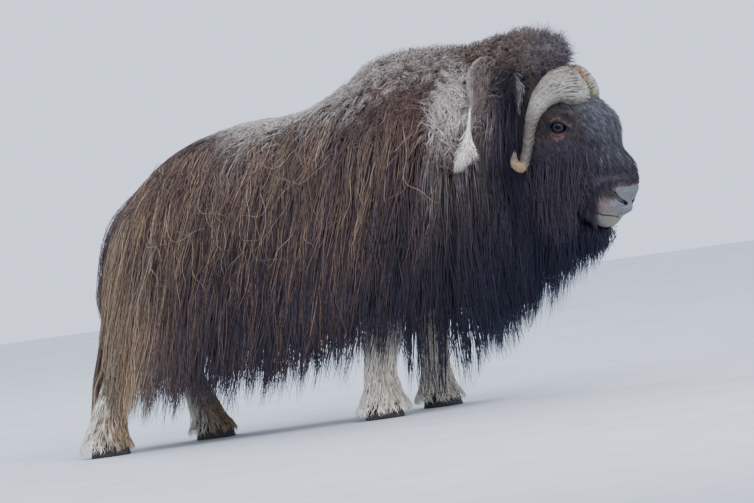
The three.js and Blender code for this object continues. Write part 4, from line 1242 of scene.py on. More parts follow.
    def strays(self) -> Strands:
        """The loose hairs that loop over the flanks, lighter than the coat under them."""
        rng, trunk, count, share = self.rng, self.trunk, 150, even(12)
        side = np.where(rng.uniform(size=count) < 0.5, 1, -1)[:, None]
        on_rump = rng.uniform(size=count) < 0.6
        place0 = np.where(on_rump, rng.uniform(-0.75, -0.2, count), rng.uniform(-0.3, 0.35, count))
        fall0 = trunk.fall(place0, rng.uniform(0.45, 1.05, count))
        turn = self.column(-0.6, 0.3, count) - math.pi / 2
        bend = rng.normal(0, 1.3, count)[:, None] * share
        size = self.column(0.12, 0.30, count) / 11
        heading = turn + bend + 0.4 * np.sin(9 * share + self.column(0, 6, count))
        place = place0[:, None] + np.cumsum(np.cos(heading) * size, axis=1) * 0.9
        fall = np.maximum(fall0[:, None] - np.cumsum(np.sin(heading) * size, axis=1), 0.02)
        depth = blend(0.7, 1.08, np.minimum(share * 4, 1.0)) + 0.04 * np.sin(7 * share)
        paths, outward = trunk.lie(place, side * fall, depth)
        colour = blend(Palette.UMBER, Palette.TAN, self.column(0, 0.8, count))
        # Painted shade: darker at the root, deep in the coat.
        return Strands(paths, outward, rng.uniform(0.0007, 0.0012, count), colour * 0.7, colour)

    def back(self) -> Strands:
        """The short hair that lies back along the crest from the withers to the rump."""
        rng, trunk = self.rng, self.trunk
        roots = scattered(rng, (-0.84, -0.46), (0.08, 0.46), (0.034, 0.034))
        roots = np.concatenate([roots, scattered(rng, (-0.90, -0.035), (-0.45, 0.035), (0.020, 0.020))])
        guide, shift, left = locks(rng, roots, 7, (0.035, 0.03), 0.75)
        share = even(5)
        count = len(guide)
        length = self.column(0.06, 0.13, count)
        keep = blend(1.0, left[:, None], share)
        fall0 = roots[guide, 1:2] + shift[:, 1:] * keep
        steep = np.clip(np.abs(fall0) / 0.40, 0, 1) * rng.normal(1.0, 0.4, len(roots))[guide][:, None]
        place = roots[guide, :1] + shift[:, :1] * keep - length * share * (1 - 0.6 * steep)
        place = place + self.waves(count, share, 0.010, (0.6, 1.6))
        fall = fall0 + np.sign(fall0) * length * share * (0.15 + 0.75 * steep)
        fall = fall + self.waves(count, share, 0.016, (0.5, 1.5))
        stand = self.column(0.7, 1.02, count)
        depth = blend(trunk.core - 0.04, stand, np.minimum(share * 2, 1) ** 0.8)
        paths, outward = trunk.lie(place, fall, depth)
        colour = self.body_colour(paths)
        # Painted shade: darker at the root, deep in the coat.
        return self.toned(paths, outward, (colour * 0.65, colour * 1.1), 0.2, (0.0012, 0.0022))

    def curtain(self, corners: tuple, apart: tuple, gather: float, lengths: tuple,
                lowest: float, flare: float = 0.0) -> tuple[Array, Array, Array]:
        """Hang locks over the front or the back of the body.

        Args:
            corners: The least and the most place across and height of the roots.
            apart: How far the locks are apart, across and down.
            gather: How far their hairs come together at the tip.
            lengths: The least and the most length of a hair.
            lowest: The height where the tips end.
            flare: How far the hair spreads to the sides at its tips.

        Returns:
            The shares of a hair's length, and the places across and the heights there.
        """
        rng, share = self.rng, even(7)
        roots = scattered(rng, *corners, apart)
        guide, shift, left = locks(rng, roots, 13, (0.035, 0.04), gather)
        count = len(guide)
        height0 = roots[guide, 1] + shift[:, 1]
        length = np.minimum(rng.uniform(*lengths, count), height0 - lowest + rng.normal(0, 0.03, count))
        across = (roots[guide, :1] + shift[:, :1] * blend(1.0, left[:, None], share)) * (1 + flare * share)
        across = across + self.waves(count, share, 0.012, (0.5, 1.2))
        return share, across, height0[:, None] - length[:, None] * share

    def rear(self) -> Strands:
        """The hair that hangs down the buttocks."""
        share, across, height = self.curtain(
            ((-0.15, 0.36), (0.15, 1.04)), (0.030, 0.046), 0.8, (0.3, 0.5), 0.12, 0.12)
        stand = self.column(0.6, 1.0, len(across))
        depth = blend(-0.1, stand, np.minimum(share * 2.2, 1) ** 0.8)
        depth = depth + 0.7 * np.exp(-((across / 0.055) ** 2)) * smooth(0.45, 0.60, height)  # over the tail
        paths = self.trunk.behind(across, height, depth)
        outward = np.tile([-1.0, 0.0, 0.2], (len(paths), 1))
        colour = self.body_colour(paths)
        # Painted shade: darker at the root, deep in the coat.
        return self.toned(paths, outward, (colour * 0.6, colour * 1.15), 0.3, (0.0010, 0.0020))

    def wool(self) -> Strands:
        """The curly wool of the hump, shoulders and neck."""
        rng, trunk, share = self.rng, self.trunk, even(5)
        batches = []
        for side in (1, -1):
            roots = scattered(rng, (-0.04, 0.0), (0.78, 1.0), (0.026, 0.026))
            level = roots[:, 1].copy()
            roots[:, 1] = trunk.fall(roots[:, 0], level)
            roots = roots[level < self.wool_edge(roots) + 0.14]
            guide, shift, left = locks(rng, roots, 7, (0.024, 0.024), 0.5)
            count = len(guide)
            level0 = trunk.level(roots[guide, 0], roots[guide, 1])
            curl = rng.normal(0, 1, (len(roots), 2))[guide]
            size = blend(0.026, 0.075, smooth(0.35, 0.8, level0)) * rng.uniform(0.7, 1.25, count)
            keep, grown = blend(1.0, left[:, None], share), size[:, None] * share
            place = roots[guide, :1] + shift[:, :1] * keep + grown * (curl[:, :1] * 0.6 - 0.25)
            place = place + self.waves(count, share, 0.012, (0.7, 1.8))
            fall = roots[guide, 1:] + shift[:, 1:] * keep + grown * (0.9 + curl[:, 1:] * 0.6)
            fall = np.maximum(fall + self.waves(count, share, 0.012, (0.7, 1.8)), 0.001)
            lump = rng.uniform(0.80, 1.0, len(roots))[guide] * rng.uniform(0.88, 1.06, count)
            paths, outward = trunk.lie(place, side * fall, blend(0.55, lump[:, None], risen(share, 1.3)))
            tone = rng.lognormal(0, 0.20, len(roots))[guide][:, None]
            # Painted shade: darker at the root, deep in the wool.
            ends = self.body_colour(paths) * 0.8 * tone, self.body_colour(paths, -1) * 1.2 * tone
            batches.append(self.toned(paths, outward, ends, 0.2, (0.0010, 0.0020)))
        return joined(batches)

    def chest(self) -> Strands:
        """The hair under the throat and down the front of the chest."""
        share, across, height = self.curtain(
            ((-0.12, 0.42), (0.12, 1.02)), (0.035, 0.045), 0.75, (0.28, 0.45), 0.2)
        front = blend(0.66, 0.775, smooth(0.35, 0.85, height))
        place = front - 0.03 * (1 - np.minimum(share * 3, 1)) - 0.5 * across**2 / 0.12
        paths = leaning(place, across, height)
        outward = np.tile([1.0, 0.0, 0.1], (len(paths), 1))
        # Painted shade: darker at the root, deep in the coat.
        return self.toned(paths, outward, (Palette.INK * 0.6, Palette.INK * 1.2), 0.3, (0.0016, 0.0028))

    def beard(self) -> Strands:
        """The beard under the jaw and the long hair of the cheeks."""
        rng, head, share = self.rng, self.head, even(7)
        jaw, hem = np.array(head.jaw), np.array(head.beard_hem)
        roots = scattered(rng, (-0.05, -1.0), (0.338, 1.0), (0.026, 0.14))
        guide, shift, left = locks(rng, roots, 14, (0.022, 0.18), 0.75)
        count = len(guide)
        forward = np.clip(roots[guide, 0] + shift[:, 0], -0.05, 0.355)
        line = np.clip(roots[guide, 1] + shift[:, 1], -1.1, 1.1)
        run = (forward + 0.05) / 0.39
        side = line * blend(0.112, 0.046, run) * np.where(forward > 0.27, 0.6, 1.0)
        raised = rng.uniform(0, 1, count) * blend(0.20, 0.05, run) * np.abs(line) ** 3
        raised = np.where(forward > 0.25, 0.0, raised)
        height = np.interp(forward, jaw[:, 0], jaw[:, 1])
        height = height + (0.014 + 0.02 * np.abs(line)) * (forward < 0.26) + raised
        tip = np.interp(forward, hem[:, 0], hem[:, 1]) - 0.03 + rng.normal(0, 0.025, count) + raised * 0.8
        longest = 1.0 + 0.16 * smooth(0.30, 0.15, forward)
        drop = (height - tip) / math.cos(math.radians(10)) * rng.uniform(0.66, longest)
        out = head.turned_way(together(0.3 + 0 * line, line, 0 * line))
        fall = np.array([-math.sin(math.radians(10)), 0, -math.cos(math.radians(10))])
        swing = risen(share, 1.6)
        start = head.turned(together(forward, side, height))[:, None]
        paths = start + out[:, None] * (0.018 * swing)[..., None]
        paths = paths - out[:, None] * (0.012 * (1 - swing))[..., None]
        paths = paths + fall * (drop[:, None] * share)[..., None]
        pull = head.turned_way(together(-shift[:, 0], -shift[:, 1] * 0.08, 0 * line)) * (1 - left)[:, None]
        paths = paths + pull[:, None] * (share**0.8)[..., None]
        paths[..., :2] += np.stack([self.waves(count, share, 0.012, (0.5, 1.4)) for _ in range(2)], -1)
        # Painted shade: darker at the root, deep in the beard.
        return self.toned(paths, out, (Palette.INK * 0.7, Palette.INK * 1.3), 0.3, (0.0014, 0.0024))

    def crown(self) -> Strands:
        """The fuzzy hair on the crown between and behind the horns."""
        rng, head, count = self.rng, self.head, 3200
        polar = np.arccos(rng.uniform(math.cos(math.radians(122)), 1.0, count))
        turn = rng.uniform(0, TURN, count)
        ball = together(np.sin(polar) * np.cos(turn), np.sin(polar) * np.sin(turn), np.cos(polar))
        reach = np.array(head.crown_reach)
        spot = np.array(head.crown) + ball * reach * 0.86
        out = unit(ball / reach)
        share = even(6)[..., None]
        length = rng.uniform(0.022, 0.056, count)[:, None, None]
        beside, above = ball[:, 0] * 0.1, ball[:, 1] * 0.1 + ball[:, 2] * 0.05
        tuft = np.stack([Drift(20 + axis, 0.05)(beside, above) for axis in range(3)], -1)
        lean = unit(out + 0.30 * tuft + rng.normal(0, 0.30, (count, 3)))
        bend = rng.normal(0, 0.5, (count, 3))
        paths = spot[:, None] + lean[:, None] * length * share + bend[:, None] * length * share**2 * 0.6
        paths = paths + np.stack([self.waves(count, share[..., 0], 0.006, (0.8, 2.0)) for _ in range(3)], -1)
        tone = rng.lognormal(0, 0.22, count)[:, None]
        brown = smooth(0.07, -0.03, spot[:, 0] - head.crown[0])[:, None]
        colour = blend(Palette.SMOKE, Palette.FUZZ, brown) * tone
        side = head.turned_way(unit(np.cross(out, rng.normal(0, 1, (count, 3)))))
        width = rng.uniform(0.0007, 0.0013, count)
        # Painted shade: darker at the root, near the skin.
        return Strands(head.turned(paths), side, width, colour * 0.6, colour * 1.2)

    def face(self) -> Strands:
        """The short fur of the face, which runs down and forwards over the nose."""
        rng, head, count = self.rng, self.head, 12000
        share0 = rng.uniform(0.0, 0.93, count)
        angle = rng.uniform(-2.5, 2.5, count)
        spot, out = head.wall(share0, angle), head.wall_out(share0, angle)
        across, up = head.from_eye(spot)
        gap = np.hypot(across, up + 0.006)
        cheek_end = np.interp(spot[:, 2], [0.60, 0.639, 0.676, 0.734], [0.296, 0.308, 0.332, 0.344])
        bare = (spot[:, 2] < 0.718) & (spot[:, 0] > cheek_end) | (spot[:, 2] < 0.745) & (spot[:, 0] > 0.415)
        covered = (spot[:, 2] < 0.82) & (spot[:, 0] < 0.26) | (spot[:, 2] > 1.13)
        keep = (gap > 0.037) & ~bare & ~covered
        share0, angle, spot, out, gap = (values[keep] for values in (share0, angle, spot, out, gap))
        count = len(spot)
        ahead = unit(head.wall(share0 + 0.01, angle) - head.wall(share0 - 0.01, angle))
        down = np.array([0.0, 0.0, -1.0])
        low = smooth(0.92, 0.80, spot[:, 2])[:, None] * smooth(0.40, 0.30, spot[:, 0])[:, None]
        swirl = Drift(14, 0.05)(share0 * 0.5, angle * 0.12)[:, None] * np.cross(out, ahead)
        way = ahead * blend(0.9, 0.1, low) + down * blend(0.40, 1.0, low) + 0.16 * swirl
        way = way + rng.normal(0, 0.12, (count, 3))
        way = unit(way - np.sum(way * out, -1, keepdims=True) * out)
        muzzle = smooth(0.802, 0.782, spot[:, 2]) * smooth(0.40, 0.44, spot[:, 0])
        longer = np.maximum(low[:, 0], smooth(0.16, 0.08, spot[:, 0]))
        length = blend(0.036, 0.062, longer) * rng.uniform(0.6, 1.3, count)
        length = length * blend(1.0, 0.28, muzzle) * blend(0.3, 1.0, smooth(0.037, 0.085, gap))
        t = even(4)[..., None]
        rise = blend(0.009, 0.012, low)[:, None, :] * rng.uniform(0.5, 1.25, (count, 1, 1))
        rise = rise * blend(0.4, 1.0, np.minimum(length / 0.04, 1))[:, None, None]
        paths = head.relief(spot, out)[:, None] - out[:, None] * 0.002
        paths = paths + way[:, None] * length[:, None, None] * t
        paths = paths + out[:, None] * rise * risen(t, 1.3)
        clump = Drift(12, 0.016)(angle * 0.10, share0 * 0.25)
        clump = clump + 0.6 * Drift(16, 0.05)(angle * 0.10, share0 * 0.4)
        tone = np.exp(0.30 * clump + rng.normal(0, 0.32, count) - 0.06)
        colour = self.face_marks.colour(spot, head) * tone[:, None]
        width = rng.uniform(0.0006, 0.0012, count)
        # Painted shade: darker at the root, near the skin.
        return Strands(head.turned(paths), head.turned_way(out), width, colour * 0.6, colour * 1.3)

    def cheeks(self) -> Strands:
        """The long hair that hangs from the cheeks and the sides of the jaw."""
        rng, head, count, share = self.rng, self.head, 2500, even(6)
        share0 = 0.5 * rng.uniform(0.0, 1.0, count) ** 1.2
        side = np.where(rng.uniform(size=count) < 0.5, 1, -1)
        angle = rng.uniform(1.25, 2.5, count) * side
        spot = head.wall(share0, angle)
        forward, height = spot[:, 0], spot[:, 2]
        soft = rng.uniform(0, 1, count)
        kept = height < 0.96 - 0.14 * soft + 0.16 * smooth(0.12, 0.08, forward)
        kept = kept & (forward < 0.36 - 0.10 * soft) & ((height > 0.74) | (forward < 0.26))
        share0, angle, spot = share0[kept], angle[kept], spot[kept]
        count, out = len(spot), head.turned_way(head.wall_out(share0, angle))
        length = blend(0.25, 0.05, smooth(0.22, 0.50, share0)) * rng.uniform(0.6, 1.2, count)
        swing = risen(share, 2.2) * self.column(0.6, 1.2, count)
        paths = head.turned(spot)[:, None] + out[:, None] * (-0.012 + 0.028 * swing)[..., None]
        paths = paths + np.array([-0.10, 0, -0.99]) * (length[:, None] * share)[..., None]
        tuft = 1.0 + Drift(18, 0.05)(paths[:, 0, 0], paths[:, 0, 2])[:, None]
        paths[..., 0] += self.waves(count, share, 0.012, (0.4, 1.5)) + 0.012 * (share * tuft) ** 2 * 0.3
        paths[..., 1] += self.waves(count, share, 0.008, (0.5, 1.3))
        colour = blend(Palette.CHEEK, Palette.BROWN, (rng.uniform(size=count) < 0.3)[:, None] * 0.30)
        # Painted shade: darker at the root, near the skin.
        return self.toned(paths, out, (colour * 0.8, colour * 1.1), 0.20, (0.0008, 0.0016))

    def ears(self) -> Strands:
        """The short fur of the ears, with the pale fringe of their front edge."""
        rng, batches, count, t = self.rng, [], 420, even(4)[..., None]
        for side in Side:
            ear = Ear(side)
            along, sideways = rng.uniform(0.02, 0.97, count), rng.uniform(-1, 1, count)
            face = np.where(rng.uniform(size=count) < 0.5, 1, -1)
            spot = ear.spots(along, sideways, face * 0.6)
            tip = ear.spots(np.minimum(along + 0.16, 1.06), sideways * 1.15, face * 1.4)
            paths = spot[:, None] + (tip - spot)[:, None] * t + rng.normal(0, 0.0035, (count, 1, 3)) * t**2
            pale = smooth(0.5, 0.9, sideways + rng.normal(0, 0.15, count))[:, None]
            colour = blend(Palette.DARK * 0.55, Palette.GREY * 0.46, pale)
            paths = self.head.turned(paths * side.flip)
            out = self.head.turned_way(ear.axes()[2] * face[:, None] * side.flip)
            # Painted shade: darker at the root, near the ear.
            batches.append(self.toned(paths, out, (colour * 0.8, colour * 1.2), 0.25, (0.0008, 0.0014)))
        return joined(batches)

    def ruff(self) -> Strands:
        """The roll of tan wool behind the ear on the right side, pale along its rear edge."""
        rng, count, t = self.rng, 760, even(7)
        line = [
            [0.593, 1.284], [0.561, 1.270], [0.530, 1.2365], [0.519, 1.189], [0.523, 1.132], [0.520, 1.086],
        ]
        start, length = self.column(-0.02, 0.85, count), self.column(0.10, 0.22, count)
        share = np.clip(start + length * t, 0, 1)
        spot = smooth_rows(line, share)
        before = self.column(0, 1, count) ** 1.6
        swell = np.sin(np.pi * (0.2 + 0.7 * share))
        along = spot[..., 0] + before * 0.085 * swell + self.waves(count, t, 0.006, (0.8, 2.0))
        height = spot[..., 1] - 0.010 * before + self.waves(count, t, 0.004, (0.8, 2.0))
        bulge = np.sqrt(np.maximum(0.0, 1 - (1 - 2.4 * before) ** 2) * (before < 0.83)) * swell
        depth = blend(0.8, 0.98, np.minimum(t * 4, 1)) + 0.16 * bulge + rng.normal(0, 0.02, (count, 1))
        paths = self.trunk.near_side(along, height, depth)
        colour = blend(Palette.BROWN, Palette.RUFF, 0.25 + 0.75 * smooth(0.35, 0.02, before))
        out = np.tile([0.0, -1.0, 0.2], (count, 1))
        # Painted shade: darker at the root, deep in the wool.
        return self.toned(paths, out, (colour * 0.75, colour * 1.15), 0.2, (0.0009, 0.0016))

    def shed(self) -> Strands:
        """The tuft of cream underwool that hangs loose from the end of the ruff."""
        rng, count, t = self.rng, 380, even(9)
        along = 0.425 + 0.105 * rng.uniform(size=count) ** 1.7
        low = np.interp(along, [0.425, 0.45, 0.48, 0.535], [0.872, 0.868, 0.885, 0.915])
        end = np.stack([along, low + rng.exponential(0.022, count)], -1)
        begin = blend(np.array([0.519, 1.105]), np.array([0.506, 1.040]), self.column(0, 1, count))
        knots = np.stack([
            begin + rng.normal(0, 0.0018, (count, 2)),
            np.array([0.503, 1.028]) + rng.normal(0, 0.0022, (count, 2)),
            blend(np.array([0.492, 0.985]), end, 0.36) + rng.normal(0, 0.006, (count, 2)),
            end,
        ], 1)
        spot = np.stack([smooth_rows(each, t[0]) for each in knots])
        sway = self.waves(count, t**2, 0.008, (0.8, 2.4))
        depth = blend(1.04, self.column(1.05, 1.22, count), t)
        paths = self.trunk.near_side(spot[..., 0] + sway, spot[..., 1], depth)
        out = np.tile([0.0, -1.0, 0.2], (count, 1))
        # Painted shade: darker at the root end, where the tuft leaves the ruff.
        ends = Palette.FLEECE * 0.85, Palette.FLEECE * 1.1
        return self.toned(paths, out, ends, 0.34, (0.0010, 0.0020))

    def stockings(self) -> Strands:
        """The pale hair of the legs, which flares over the hooves."""
        rng, batches, count, t = self.rng, [], 980, even(5)
        for leg in self.legs:
            height0 = 0.05 + 0.37 * rng.uniform(0, 1, count) ** 1.45
            angle = rng.uniform(0, TURN, count)
            length = np.minimum(rng.uniform(0.045, 0.10, count), height0 - rng.uniform(0.009, 0.022, count))
            height = height0[:, None] - length[:, None] * t
            over = risen(t, 1.8) * self.column(0.75, 1.15, count)
            angle = angle[:, None] + self.waves(count, t, 0.12, (0.4, 1.0))
            inset = 0.016 * (1 - over) - 0.012 * smooth(0.060, 0.030, height)
            paths = leg.wall(leg.share_at(height), angle, inset)
            paths[..., 2] = height
            root = leg.share_at(height0), angle[:, 0]
            out = unit(leg.wall(*root, 0.0) - leg.wall(*root, 0.02))
            ends = [self.markings.leg(leg, np.sin(angle[:, 0]), height[:, step]) for step in (0, -1)]
            # Painted shade: darker at the root, near the leg.
            batches.append(self.toned(paths, out, (ends[0] * 0.9, ends[1] * 1.1), 0.16, (0.0015, 0.0026)))
        return joined(batches)


class HairFinish:
    """Hair: a soft satin strand with its stored colour, darker at the root as painted shade deep in the coat.
    """

    def build(self, name: str, roughness: float) -> bpy.types.Material:
        """Make the material, as dull as the roughness says."""
        nodes = Nodes(name)
        colour = nodes.attribute("hair").outputs["Color"]
        nodes.base(nodes.varied(colour, nodes.noise(60.0, 3.0), (0.3, 0.7), (0.75, 1.25)))
        nodes.set(roughness=roughness, specular_ior_level=0.42)
        nodes.bump(nodes.noise(900.0, 2.0), 0.25, 0.0006)
        return nodes.material


class SkinFinish:
    """Skin under the coat: dull, mottled where it is bare and streaked like hair where it is covered."""

    def build(self, name: str) -> bpy.types.Material:
        """Make the material."""
        nodes = Nodes(name)
        colour = nodes.attribute("hide").outputs["Color"]
        furry = nodes.attribute("furry").outputs["Fac"]
        flow = nodes.stretched(nodes.place(), (1.0, 1.0, 0.16), (0.0, math.radians(-35), 0.0))
        streaks = nodes.noise(420.0, 4.0, flow)
        plain = nodes.varied(colour, nodes.noise(120.0, 6.0), (0.3, 0.7), (0.85, 1.15))
        haired = nodes.varied(colour, streaks, (0.35, 0.65), (0.35, 1.5))
        nodes.base(nodes.mix(furry, plain, haired))
        nodes.set(roughness=0.8, specular_ior_level=0.3)
        nodes.bump(streaks, 0.5, 0.002)
        return nodes.material


class HornFinish:
    """Horn: streaked grey-cream, cracked at the boss and darker at the point."""

    def build(self, name: str) -> bpy.types.Material:
        """Make the material."""
        nodes = Nodes(name)
        colour = nodes.attribute("horn").outputs["Color"]
        course = nodes.attribute("grain").outputs["Vector"]
        grain = nodes.noise(60.0, 5.0, nodes.stretched(course, (1.0, 9.0, 1.0)))
        streaked = nodes.varied(colour, grain, (0.35, 0.65), (0.5, 1.28))
        nodes.base(nodes.varied(streaked, nodes.noise(70.0, 6.0), (0.3, 0.7), (0.8, 1.15)))
        nodes.set(roughness=0.5, specular_ior_level=0.35)
        nodes.bump(grain, 0.55, 0.002)
        return nodes.material


class EyeFinish:
    """A wet eye: its stored colours under a clear coat."""

    def build(self, name: str) -> bpy.types.Material:
        """Make the material."""
        nodes = Nodes(name)
        colour = nodes.attribute("eye").outputs["Color"]
        nodes.base(nodes.varied(colour, nodes.noise(700.0, 3.0), (0.3, 0.7), (0.8, 1.2)))
        nodes.set(roughness=0.5, specular_ior_level=0.03, coat_weight=0.12, coat_roughness=0.03)
        return nodes.material


class PlainFinish:
    """Hoof or ear: one colour with a fine mottle."""

    def build(self, name: str, colour: Array, roughness: float) -> bpy.types.Material:
        """Make the material, as dull as the roughness says."""
        nodes = Nodes(name)
        mottle = nodes.spread(nodes.noise(80.0, 4.0), (0.3, 0.7), (0.0, 1.0))
        nodes.base(nodes.mix(mottle, tuple(colour * 0.7), tuple(colour * 1.2)))
        nodes.set(roughness=roughness, coat_roughness=0.03)
        nodes.bump(nodes.noise(300.0, 5.0), 0.4, 0.001)
        return nodes.material


@dataclass
class Horn:
    """One horn with its boss, which meets the other over the forehead and hooks up at its point."""

    side: Side
    # Each section: middle (forward, side, height), half length and half thickness.
    rows: list = field(default_factory=lambda: [
        [0.288, 0.003, 1.127, 0.088, 0.028], [0.292, 0.042, 1.133, 0.086, 0.041],
        [0.252, 0.082, 1.138, 0.068, 0.040], [0.209, 0.114, 1.112, 0.047, 0.033],
        [0.178, 0.140, 1.068, 0.032, 0.028], [0.159, 0.158, 1.018, 0.024, 0.023],
        [0.149, 0.171, 0.967, 0.020, 0.020], [0.136, 0.186, 0.906, 0.0185, 0.0185],
        [0.121, 0.208, 0.862, 0.0190, 0.0190], [0.107, 0.235, 0.882, 0.0155, 0.0155],
        [0.125, 0.250, 0.932, 0.003, 0.003],
    ])
    boss_lie: tuple = (0.537, 0.0, -0.843)
    square: float = 2.3
    steps: int = 260
    sides: int = 120

    def build(self, head: Head) -> tuple[Array, Array, Array, Array]:
        """Build the horn.

        Args:
            head: The head that it grows from.

        Returns:
            Points, triangles, colours, and each point's place along and around for the grain.
        """
        line = np.linspace(0.0, 1.0, self.steps)
        rows = smooth_rows(np.array(self.rows), line)
        path = rows[:, :3]
        share, angle = line[:, None], around(self.sides)
        course = unit(np.gradient(path, axis=0))
        course = unit(blend(np.array([0.0, 1.0, 0.0]), course, smooth(0.0, 0.25, share)))
        long = blend(np.array(self.boss_lie), np.array([1.0, 0.0, 0.0]), smooth(0.3, 0.7, share))
        long = unit(long - course * (long * course).sum(-1, keepdims=True))
        out = unit(np.cross(course, long))
        front, top = oval(angle, self.square)
        boss = smooth(0.42, 0.22, share)
        edge = 1.0 - 0.45 * np.clip(1.0 - share / 0.040, 0.0, 1.0) ** 2.0  # rounds down into the furrow
        thick = rows[:, 4:5] * edge * (1.0 + 0.25 * boss * (1 - np.clip(front, 0, 1) ** 2 * boss))
        fibres = Drift(11 + self.side.value, 0.030, 14)(share * 0.14, angle * 0.20)
        cracks = np.clip(Drift(13, 0.011, 16)(share * 0.11, angle * 0.16) - 0.5, 0, 1.6)
        relief = boss * (0.0009 * fibres - 0.0022 * cracks)
        relief = relief + 0.0008 * Drift(17, 0.02, 8)(share * 0.6, angle * 0.02) * (1 - boss)
        relief = relief * smooth(1.0, 0.93, share)
        wide = rows[:, 3:4] * (0.86 + 0.14 * edge)
        points = path[:, None] + long[:, None] * ((wide + relief) * front)[..., None]
        points = points + out[:, None] * ((thick + relief) * top)[..., None]
        verts, faces = loft(head.turned(points * self.side.flip))
        grain = together(share * 0.9, angle * 0.03, 0 * angle)
        return verts, faces, capped(self.colours(share, fibres, cracks, boss, front)), capped(grain)

    @staticmethod
    def colours(share: Array, fibres: Array, cracks: Array, boss: Array, front: Array) -> Array:
        """Return the horn's colours: a grey-cream boss, a darker shaft, a tan hook and a black point."""
        surface = Paint(tint("#a29d94"), fibres.shape)
        for code, amount in (
            ("#857d6c", 0.35 + 0.35 * fibres),
            ("#5d4f3a", 0.75 * boss * smooth(0.3, -0.9, front) * smooth(-0.6, 0.8, fibres)),
            ("#4f463f", 0.85 * smooth(0.34, 0.52, share)),
            ("#a08360", 0.9 * smooth(0.74, 0.82, share)),
            ("#6a615d", 0.8 * smooth(0.91, 0.95, share)),
            ("#1d1a1b", smooth(0.975, 0.99, share)),
            ("#8d5f3c", 0.85 * smooth(0.085, 0.035, share) * smooth(0.5, -0.2, front)),
            ("#77703f", 0.75 * smooth(0.085, 0.03, share) * smooth(-0.2, 0.5, front)),
            ("#26221f", 0.9 * np.minimum(cracks, 1) * boss),
            ("#4a4038", 0.6 * boss * smooth(0.75, 1.0, front)),
        ):
            surface.lay(tint(code), amount)
        return surface.colour


@dataclass
class Eye:
    """One eyeball, with its clear bulge, its dark iris and the bar of its pupil."""

    side: Side
    bulge: float = 0.0012

    def build(self, head: Head) -> tuple[Array, Array, Array]:
        """Build the eyeball.

        Args:
            head: The head that it sits in.

        Returns:
            Points, triangles and colours.
        """
        look, long, above = head.eye_axes()
        polar, turn = np.linspace(0.02, math.pi - 0.02, 60)[:, None], around(72)
        radius = head.eye_radius + self.bulge * smooth(0.75, 0.35, polar)
        flat = np.sin(polar) * radius
        across, up = flat * np.cos(turn), flat * np.sin(turn)
        points = np.array(head.eye) + look * (np.cos(polar) * radius + 0 * turn)[..., None]
        points = points + long * across[..., None] + above * up[..., None]
        before = np.cos(polar) > 0
        iris = smooth(0.0215, 0.0195, flat) * before
        fibre = 0.5 + 0.5 * np.sin(turn * 23 + 3 * np.sin(turn * 5))
        surface = Paint(tint("#131116"), across.shape)
        surface.lay(tint("#39363f"), iris * (0.6 + 0.4 * fibre))
        surface.lay(tint("#17181f"), 0.7 * smooth(0.0150, 0.0200, flat) * iris)
        surface.lay(tint("#020203"), smooth(1.15, 0.9, np.hypot(across / 0.0115, up / 0.0075)) * before)
        return *loft(head.turned(points * self.side.flip)), capped(surface.colour)


@dataclass
class Ear:
    """One ear: a curved leaf, hollow to the front, with short fur and a pale fringe."""

    side: Side
    root: tuple = (0.092, 0.118, 1.216)
    tip: tuple = (0.128, 0.184, 1.060)
    across: tuple = (0.55, 0.45, 0.1)
    wide: float = 0.027
    thick: float = 0.0055
    cup: float = 0.016

    def axes(self) -> tuple[Array, Array, Array]:
        """Return the ear's course, its width's direction and its hollow's."""
        course = unit(np.array(self.tip) - np.array(self.root))
        across = np.array(self.across)
        across = unit(across - course * (across @ course))
        return course, across, unit(np.cross(course, across))

    def spots(self, along: Array, sideways: Array, deep: Array) -> Array:
        """Return points of the ear, in the head's own plane, for the left side."""
        _, across, out = self.axes()
        swell = np.maximum(np.sin(math.pi * (0.12 + 0.86 * along)), 0.02) ** 0.7
        wide = sideways * self.wide * swell
        bend = self.cup * (wide / self.wide) ** 2 * swell + deep * self.thick * swell**0.5
        line = blend(np.array(self.root), np.array(self.tip), along[..., None])
        return line + across * wide[..., None] + out * bend[..., None]

    def build(self, head: Head) -> Mesh:
        """Return the ear's closed mesh."""
        along, angle = np.broadcast_arrays(np.linspace(0.0, 1.0, 60)[:, None], around(48))
        return loft(head.turned(self.spots(along, np.sin(angle), np.cos(angle)) * self.side.flip))


@dataclass
class Hoof:
    """One cloven hoof, with rounded walls and a bevelled sole."""

    leg: Leg
    length: float = 0.150
    width: float = 0.128
    height: float = 0.055
    cleft: float = 0.005
    slope: float = 0.16
    square: float = 2.4
    heel_base: float = 0.006

    def claw(self, hand: int) -> Mesh:
        """Return one claw, on hand 1 or -1."""
        rise = np.array([0.0, 0.02, 0.06, 0.15, 0.3, 0.5, 0.7, 0.85, 0.95, 1.0])[:, None]
        sole, rim = np.clip(1 - rise / 0.08, 0, 1), np.clip((rise - 0.85) / 0.15, 0, 1)
        spread = (1 - self.slope * rise) * (1.0 - 0.05 * sole**2 - 0.10 * rim**2)
        rings = 1 + 0.012 * np.sin(rise * 40)
        long, wide = oval(around(64) + math.pi / 2, self.square)
        lengthwise = long * self.length / 2 * spread * rings
        breadth = (self.width / 4 - self.cleft / 2) * spread
        toe_in = hand * (self.width / 4 - 0.006 * np.maximum(0, long))
        across = self.leg.side + toe_in + wide * breadth
        return loft(together(self.leg.hoof + lengthwise, across, self.height * rise))

    def heel(self) -> Mesh:
        """Return the heel that closes the claws behind."""
        rise, angle = np.linspace(0.0, 1.0, 8)[:, None], around(48)
        size = 1 - 0.1 * (2 * rise - 1) ** 2
        along = self.leg.hoof - self.length * 0.22 + np.sin(angle) * self.length * 0.23 * size
        across = self.leg.side + np.cos(angle) * self.width * 0.33 * size
        return loft(together(along, across, self.heel_base + (self.height - self.heel_base) * rise))


